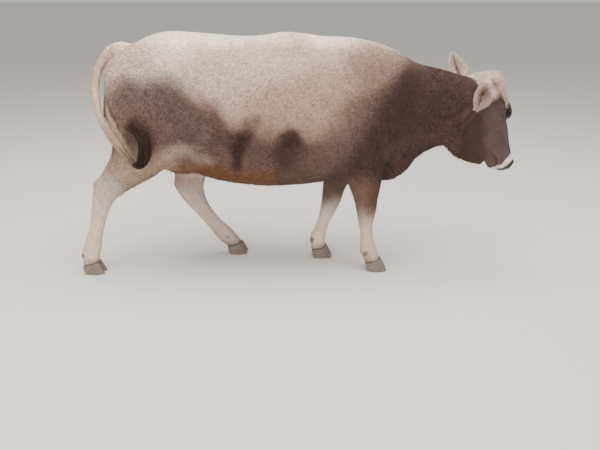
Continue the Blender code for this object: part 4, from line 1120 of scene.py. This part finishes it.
def unwrap(points, part):
    """A spot on a rolled-out copy of the skin for each point, by the part of the body it is on."""
    p = in_sections(points)
    tile, tiles = 0, 1
    if part == "head":
        a = in_head(points)
        along = (a[:, 0] + 0.15) / 0.70
        angle = np.arctan2(a[:, 1], a[:, 2] + 0.09)
    elif part == "legs":
        tile, tiles = np.where(p[:, 0] > 0, 0, 2) + np.where(p[:, 1] < 0, 0, 1), 4
        centre = np.array(list(FEET.values()))[tile] * np.array((0.85, 1.0))
        along = p[:, 2] / 0.70
        angle = np.arctan2(p[:, 1] - centre[:, 1], p[:, 0] - centre[:, 0])
    elif part == "tail":
        along = along_path(p, TAIL_PATH)[1]
        angle = np.arctan2(p[:, 1] + 0.15, p[:, 2] - 0.9)
    else:
        along = (p[:, 0] + 1.15) / 2.2
        angle = np.arctan2(p[:, 1], p[:, 2] - 0.86)
    u = (tile + 0.02 + 0.96 * np.clip(along, 0, 1)) / tiles
    v = 0.02 + 0.96 * (angle / (2 * np.pi) + 0.5)
    return np.stack([u, v], axis=1)


def short_coat(skin, material):
    rng = np.random.default_rng(5)
    roots, normals = scatter(rng, skin.data, lambda p, n: hair_size(p, n)[2] * COAT_SHARE)
    length, width, _ = hair_size(roots, normals)
    p, a = in_both(roots)
    lifts = np.where(head_part(p, a, 0.86, -0.05), HEAD_LIFT, BODY_LIFT)
    points, colours = blades(
        rng, roots, normals, lie_of(roots, normals), length, width, coat_colour(roots, normals), lifts)
    parts = np.select(
        [tail_part(p)[0], p[:, 2] < 0.55, head_part(p, a, 0.80, -0.12), p[:, 0] > 0.45],
        ["tail", "legs", "head", "neck"], "trunk")
    for name in ("trunk", "neck", "head", "legs", "tail"):
        chosen = np.nonzero(parts == name)[0]
        chosen = chosen[np.argsort(roots[chosen, 0])]
        for k in range(0, len(chosen), PIECE_HAIRS):
            pick = chosen[k:k + PIECE_HAIRS]
            spots = unwrap(roots[pick], name)
            coat_piece(f"coat_{name}_{k // PIECE_HAIRS}", points[pick], BLADE, colours[pick], spots, material)


def bent_path(roots, starts, ways, lengths, stations, lift, droop):
    """Paths that leave the roots and bend over into the given ways."""
    t = np.linspace(0, 1, stations)[None, :, None]
    lengths = lengths[:, None, None]
    out = starts[:, None, :]
    rise = out * lengths * lift * np.sin(np.minimum(t * 1.4, 1) * np.pi / 2)
    return roots[:, None, :] + ways[:, None, :] * lengths * t + rise - out * lengths * droop * t**2


def long_locks(skin, material):
    """The forelock, the ears' fringes and hollows, the belly line and the fetlocks."""
    rng = np.random.default_rng(9)
    mesh = skin.data
    warm = PALETTE["warm"]

    def grow(name, part, density, length, width, lift, droop, turn, clump,
             way_of=lie_of, tone=None, stations=4):
        roots, normals = scatter(rng, mesh, lambda p, n: density(p, n) * LOCK_SHARE)
        ways = way_of(roots, normals)
        across = unit(np.cross(normals, ways))
        angle = rng.normal(0, turn, len(roots))
        ways = unit(ways * np.cos(angle)[:, None] + across * np.sin(angle)[:, None])
        sizes = length * rng.uniform(0.7, 1.2, len(roots))
        paths = bent_path(roots - normals * 0.002, normals, ways, sizes, stations, lift, droop)
        # the hairs of a clump have one length and draw together towards their tips
        key, back = np.unique(np.floor(roots / clump).astype(int), axis=0, return_inverse=True)
        back = back.ravel()
        uneven = rng.uniform(0.72, 1.12, len(key))[back][:, None, None]
        paths = paths[:, :1] + (paths - paths[:, :1]) * uneven
        mean = np.stack([np.bincount(back, paths[:, -1, i]) / np.bincount(back) for i in range(3)], axis=1)
        pull = np.linspace(0, 0.5, stations)[None, :, None] ** 1.5
        paths = paths + (mean[back] - paths[:, -1])[:, None, :] * pull
        colours = coat_colour(roots, normals) if tone is None else np.tile(tone, (len(roots), 1))
        widths = width * rng.uniform(0.8, 1.2, len(roots))
        # painted shade at the roots of these long hairs
        points, tinted = locks(rng, paths, across, widths, colours, root_shade=0.85)
        lock_piece(name, points, tinted, unwrap(roots, part), material)

    def on_poll(points, n):
        p, a = in_both(points)
        return POLL_HAIRS * (head_part(p, a, down=-0.05) & (a[:, 0] < 0.085)
                             & (np.abs(a[:, 1]) < 0.074) & (a[:, 2] > -0.072))

    def poll_way(points, n):
        face, aside = np.array(head_way((1, 0, 0))), np.array(head_way((0, 1, 0)))
        way = face[None, :] + aside[None, :] * (in_head(points)[:, 1] * 7)[:, None]
        return unit(way - n * np.sum(way * n, axis=1, keepdims=True))

    grow("forelock_locks", "head", on_poll, 0.074, 0.0014, lift=0.24, droop=0.20, turn=0.26, clump=0.012,
         way_of=poll_way, tone=warm, stations=6)

    def on_rim(points, n):
        ear = ear_sense(points)
        return EAR_RIM_HAIRS * ear.on * (np.abs(ear.across) > 0.74) * (ear.share > 0.26)

    def rim_way(points, n):
        ear = ear_sense(points)
        return unit(ear.ahead * 1.0 + n * 0.35 + ear.up * 0.30)

    grow("ear_fringe", "head", on_rim, 0.017, 0.0009, lift=0.16, droop=0.10, turn=0.22, clump=0.006,
         way_of=rim_way, tone=warm * 0.95)

    def in_cup(points, n):
        ear = ear_sense(points)
        inner = np.sum(n * ear.up, axis=1) > 0.2
        return EAR_CUP_HAIRS * ear.on * inner * ramp(0.06, 0.34, np.abs(ear.across)) * (ear.share > 0.22)

    def cup_way(points, n):
        ear = ear_sense(points)
        return unit(ear.ahead * 0.8 + ear.up * 0.50 + n * 0.45)

    grow("ear_cup_hair", "head", in_cup, 0.024, 0.0010, lift=0.12, droop=0.10, turn=0.25, clump=0.007,
         way_of=cup_way, tone=warm * 0.92)

    def on_underline(points, n):
        p = in_sections(points)
        low = UNDERLINE_HAIRS * ramp(-0.55, -0.85, n[:, 2])
        return low * (p[:, 2] > 0.46) * (p[:, 0] < 0.85) * (1 - bare(points))

    grow("underline", "trunk", on_underline, 0.030, 0.0024, lift=0.25, droop=0.0, turn=0.3, clump=0.016)

    def on_fetlock(points, n):
        z = in_sections(points)[:, 2]
        back = ramp(-0.2, -0.7, n[:, 0])
        fetlock = bell(z - 0.135, 0.05) + 0.35 * ramp(0.45, 0.40, z) * ramp(0.16, 0.22, z)
        rim = bell(z - 0.088, 0.006) * 1.3
        return FETLOCK_HAIRS * (back * fetlock + rim) * (z > 0.078) * (z < 0.45) * (1 - bare(points))

    grow("fetlocks", "legs", on_fetlock, 0.016, 0.0016, lift=0.28, droop=0.05, turn=0.3, clump=0.008)


def path_locks(path, count, start, reach, radius, width, tone, tip_tone, seed, clumps, end_pull, fluff):
    """Hairs that leave a path and sweep on along it in clumps: points, colours and spots on the unwrap."""
    rng = np.random.default_rng(seed)
    fine = fine_path(path + np.array(SHIFT), 200)
    last = len(fine) - 1
    begin = rng.uniform(start[0], start[1], count)
    stop = np.minimum(begin + rng.uniform(reach[0], reach[1], count), 1.0)
    angle = rng.uniform(0, 2 * np.pi, count)
    far = radius * np.sqrt(rng.random(count))
    group = rng.integers(0, clumps, count)
    group_angle = rng.uniform(0, 2 * np.pi, clumps)
    group_far = radius * fluff * np.sqrt(rng.random(clumps))
    stations = 7
    paths = np.empty((count, stations, 3))
    ahead = unit(np.gradient(fine, axis=0))
    first = unit(np.cross(ahead, np.array((0.3, 1.0, 0.2))))
    second = np.cross(ahead, first)
    for k in range(stations):
        t = k / (stations - 1)
        at = np.clip(((begin + (stop - begin) * t) * last).round().astype(int), 0, last)
        close = 1 - end_pull * t ** 1.3
        swell = math.sin(math.pi * min(t * 0.62, 1.0))
        aside = far * np.cos(angle) * close + (group_far * np.cos(group_angle))[group] * swell
        above = far * np.sin(angle) * close + (group_far * np.sin(group_angle))[group] * swell
        paths[:, k] = fine[at] + first[at] * aside[:, None] + second[at] * above[:, None]
    jitter = rng.normal(0, 0.0016, paths.shape)
    jitter[:, 0] = 0
    across = unit(rng.normal(0, 1, (count, 3)))
    widths = width * rng.uniform(0.75, 1.25, count)
    points, tinted = locks(rng, paths + jitter, across, widths, np.tile(tone, (count, 1)), tip_tone)
    return points, tinted, np.stack([0.02 + 0.96 * begin, 0.02 + 0.96 * angle / (2 * np.pi)], axis=1)


def tail_hair(material):
    points, tinted, spots = path_locks(
        SWITCH_PATH, int(SWITCH_HAIRS * TAIL_SHARE), start=(0.08, 0.50), reach=(0.30, 0.60),
        radius=0.014, width=0.0019, tone=PALETTE["switch"] * 1.1, tip_tone=2.6, seed=21, clumps=40,
        end_pull=0.70, fluff=1.9)
    switch = lock_piece("switch_locks", points, tinted, spots, material)
    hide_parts("tail_switch")
    end = np.vstack((TAIL_PATH[7:], SWITCH_PATH[1:4]))
    points, tinted, spots = path_locks(
        end, int(TAIL_END_HAIRS * TAIL_SHARE), start=(0.0, 0.45), reach=(0.25, 0.45),
        radius=0.016, width=0.0020, tone=PALETTE["strand"] * 0.9, tip_tone=1.1, seed=22, clumps=16,
        end_pull=0.5, fluff=0.7)
    shade = ramp(0.36, 0.44, spots[:, 0])[:, None, None]  # they darken where the switch begins
    tinted = tinted * (1 - shade) + tinted * np.array((0.16, 0.13, 0.11)) * shade
    lock_piece("tail_end_locks", points, tinted, spots, material)


# Eyes
def eyeball(side, name, material):
    centre, long, up, look = eye_frame(side)
    turn = Matrix((long, up, look)).transposed().to_4x4()
    if turn.determinant() < 0:
        turn = Matrix((-long, up, look)).transposed().to_4x4()
    bm = bmesh.new()
    bmesh.ops.create_uvsphere(bm, u_segments=48, v_segments=36, radius=1.0)
    eye = mesh_object(name + "_ball", bm)
    points = points_of(eye.data)
    flat = norms(points[:, :2])
    front = points[:, 2] > 0
    bulge = 1 + 0.035 * bell(flat, 0.45) * front
    s, t = points[:, 0], points[:, 1]
    iris, rim, pupil, white = (np.array(c) for c in (
        (0.030, 0.013, 0.006), (0.006, 0.004, 0.003), (0.0015, 0.0015, 0.002), (0.13, 0.09, 0.075)))
    colour = np.tile(white, (len(points), 1))
    colour += (rim - colour) * (ramp(0.74, 0.66, flat) * front)[:, None]
    colour += (iris - colour) * (ramp(0.64, 0.56, flat) * front)[:, None]
    slot = np.sqrt((s / 0.40) ** 2 + (t / 0.20) ** 2)
    colour += (pupil - colour) * (ramp(1.1, 0.9, slot) * front)[:, None]
    paint(eye.data, colour)
    place = np.array(Matrix.Translation(centre) @ turn @ Matrix.Scale(EYE_RADIUS, 4))
    move_points(eye.data, (points * bulge[:, None]) @ place[:3, :3].T + place[:3, 3])
    eye.data.materials.append(material)
    eye.data.shade_smooth()
    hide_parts(name)
    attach(eye, BODY)


def lashes(rims, material):
    """A row of lashes along the edge of each upper lid."""
    rng = np.random.default_rng(3)
    roots, ways, outs = [], [], []
    for side, rim in rims.items():
        centre, long, up, look = (np.array(v) for v in eye_frame(side))
        for spot in rim[rng.choice(len(rim), min(len(rim), 110), replace=False)]:
            s = (spot - centre) @ long / EYE_RADIUS
            roots.append(spot)
            outs.append(up)
            ways.append(unit(look * 1.0 + up * 0.10 + long * (s * 0.45) + rng.normal(0, 0.09, 3)))
    roots, ways, outs = np.array(roots), np.array(ways), np.array(outs)
    sizes = rng.uniform(0.012, 0.019, len(roots))
    paths = bent_path(roots - ways * 0.002, outs, ways, sizes, 5, -0.12, -0.42)
    colours = np.tile(PALETTE["nose"], (len(roots), 1))
    across = unit(np.cross(ways, outs) + 1e-6)
    points, tinted = locks(rng, paths, across, np.full(len(roots), LASH_WIDTH), colours)
    lock_piece("lashes", points, tinted, unwrap(roots, "head"), material)


# Hooves, by shares of the height from the coronet down
CLAW_SHARES = (0.0, 0.40, 0.85, 1.0)
CLAW_LONGS = (0.80, 0.90, 1.00, 0.98)
CLAW_WIDES = (0.86, 0.96, 1.00, 0.97)
CLAW_SHIFTS = (-0.004, 0.004, 0.014, 0.017)


def claw(name, x, y, side, material):
    around, levels = ((64, 36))
    loops = []
    for i in range(levels + 1):
        share = i / levels
        long = np.interp(share, CLAW_SHARES, CLAW_LONGS) - 0.006
        wide = np.interp(share, CLAW_SHARES, CLAW_WIDES) - 0.006
        shift = np.interp(share, CLAW_SHARES, CLAW_SHIFTS)
        loop = []
        for k in range(around):
            angle = 2 * math.pi * k / around
            groove = 0.010 * (0.5 + 0.5 * math.sin(share * 46 + 0.5 * math.sin(angle * 2)))
            ring = 1 - groove * min(1, 4 * (1 - share))
            u = HOOF_LENGTH / 2 * long * ring * math.cos(angle) + shift
            v = HOOF_WIDTH / 2 * wide * ring * math.copysign(abs(math.sin(angle)) ** 0.8, math.sin(angle))
            pinch = 1 - 0.35 * max(0.0, math.cos(angle)) ** 3
            top = CORONET_HEIGHT + math.tan(CORONET_SLOPE) * u - GAP
            place = Vector((x + u, y + side * CLAW_APART + v * pinch, FLOOR + top * (1 - share)))
            loop.append(place + SHIFT)
        loops.append(loop)
    hoof = tube(name + "_hoof", loops)
    hoof.data.shade_smooth()
    hoof.data.set_sharp_from_angle(angle=math.radians(50))
    hoof.data.materials.append(material)
    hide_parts(name)
    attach(hoof, BODY)


# The model
skin = skin_base()
thin_out(skin)
mesh = skin.data
move_points(mesh, points_of(mesh) - normals_of(mesh) * coat_depth(points_of(mesh))[:, None])
press_folds(skin)
join_ears(skin)
for side in SIDES:
    finer(skin, eye_frame(side)[0], EYE_FINE, 3)
finer(skin, HEAD @ Vector(MUZZLE_MIDDLE), MUZZLE_FINE, 2)
lid_rims = shape_lids(skin)
shape_muzzle(skin)
mesh = skin.data
paint(mesh, coat_colour(points_of(mesh), normals_of(mesh)) * SKIN_TONE)
wet = mesh.attributes.new("wet", "FLOAT", "POINT")
wet.data.foreach_set("value", nose_part(points_of(mesh)).astype(np.float32))
mesh.materials.clear()
mesh.materials.append(skin_material())
mesh.shade_smooth()
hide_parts(*FLESH, "ear_left", "ear_right")
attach(skin, BODY)

fur = coloured_material("coat_hair", 0.60, 0.25)
short_coat(skin, fur)
long_locks(skin, fur)
tail_hair(fur)
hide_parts("forelock")
eye_wet = coloured_material("eye_wet", 0.08, 0.22)
eyeball(1, "eye_left", eye_wet)
eyeball(-1, "eye_right", eye_wet)
lashes(lid_rims, fur)
horn = horn_material()
for foot, (x, y) in FEET.items():
    for side, word in zip(SIDES, ("right", "left")):
        claw(f"claw_{foot}_{word}", x, y, side, horn)


# Floor, light and camera
def plain_floor():
    bm = bmesh.new()
    bmesh.ops.create_grid(bm, x_segments=1, y_segments=1, size=60)
    floor = mesh_object("floor", bm)
    made, _, _ = new_material("floor", {"Base Color": FLOOR_COLOUR, "Roughness": 0.9})
    floor.data.materials.append(made)


def light(name, place, target, size, power):
    data = bpy.data.lights.new(name, "AREA")
    data.shape = "RECTANGLE"
    data.size, data.size_y = size
    data.energy = power
    data.color = LIGHT_COLOUR
    obj = linked(name, data)
    obj.location = place
    obj.rotation_euler = (Vector(target) - Vector(place)).to_track_quat("-Z", "Y").to_euler()


def studio():
    world = bpy.data.worlds.new("studio")
    world.use_nodes = True
    background = world.node_tree.nodes["Background"]
    background.inputs["Color"].default_value = WORLD_COLOUR
    background.inputs["Strength"].default_value = WORLD_STRENGTH
    bpy.context.scene.world = world
    light("overhead", (0, -0.5, 4.6), (0, 0, 0.6), (6, 5), OVERHEAD_POWER)
    light("front", (-2.2, -5.0, 2.8), (0, 0, 0.7), (4, 3), FRONT_POWER)


def camera():
    data = bpy.data.cameras.new("camera")
    data.sensor_width = CAMERA_SENSOR
    data.lens = CAMERA_LENS
    obj = linked("camera", data)
    obj.location = CAMERA_PLACE + SHIFT
    obj.rotation_euler = (math.radians(90) - CAMERA_DOWN, 0, 0)
    bpy.context.scene.camera = obj


plain_floor()
studio()
camera()
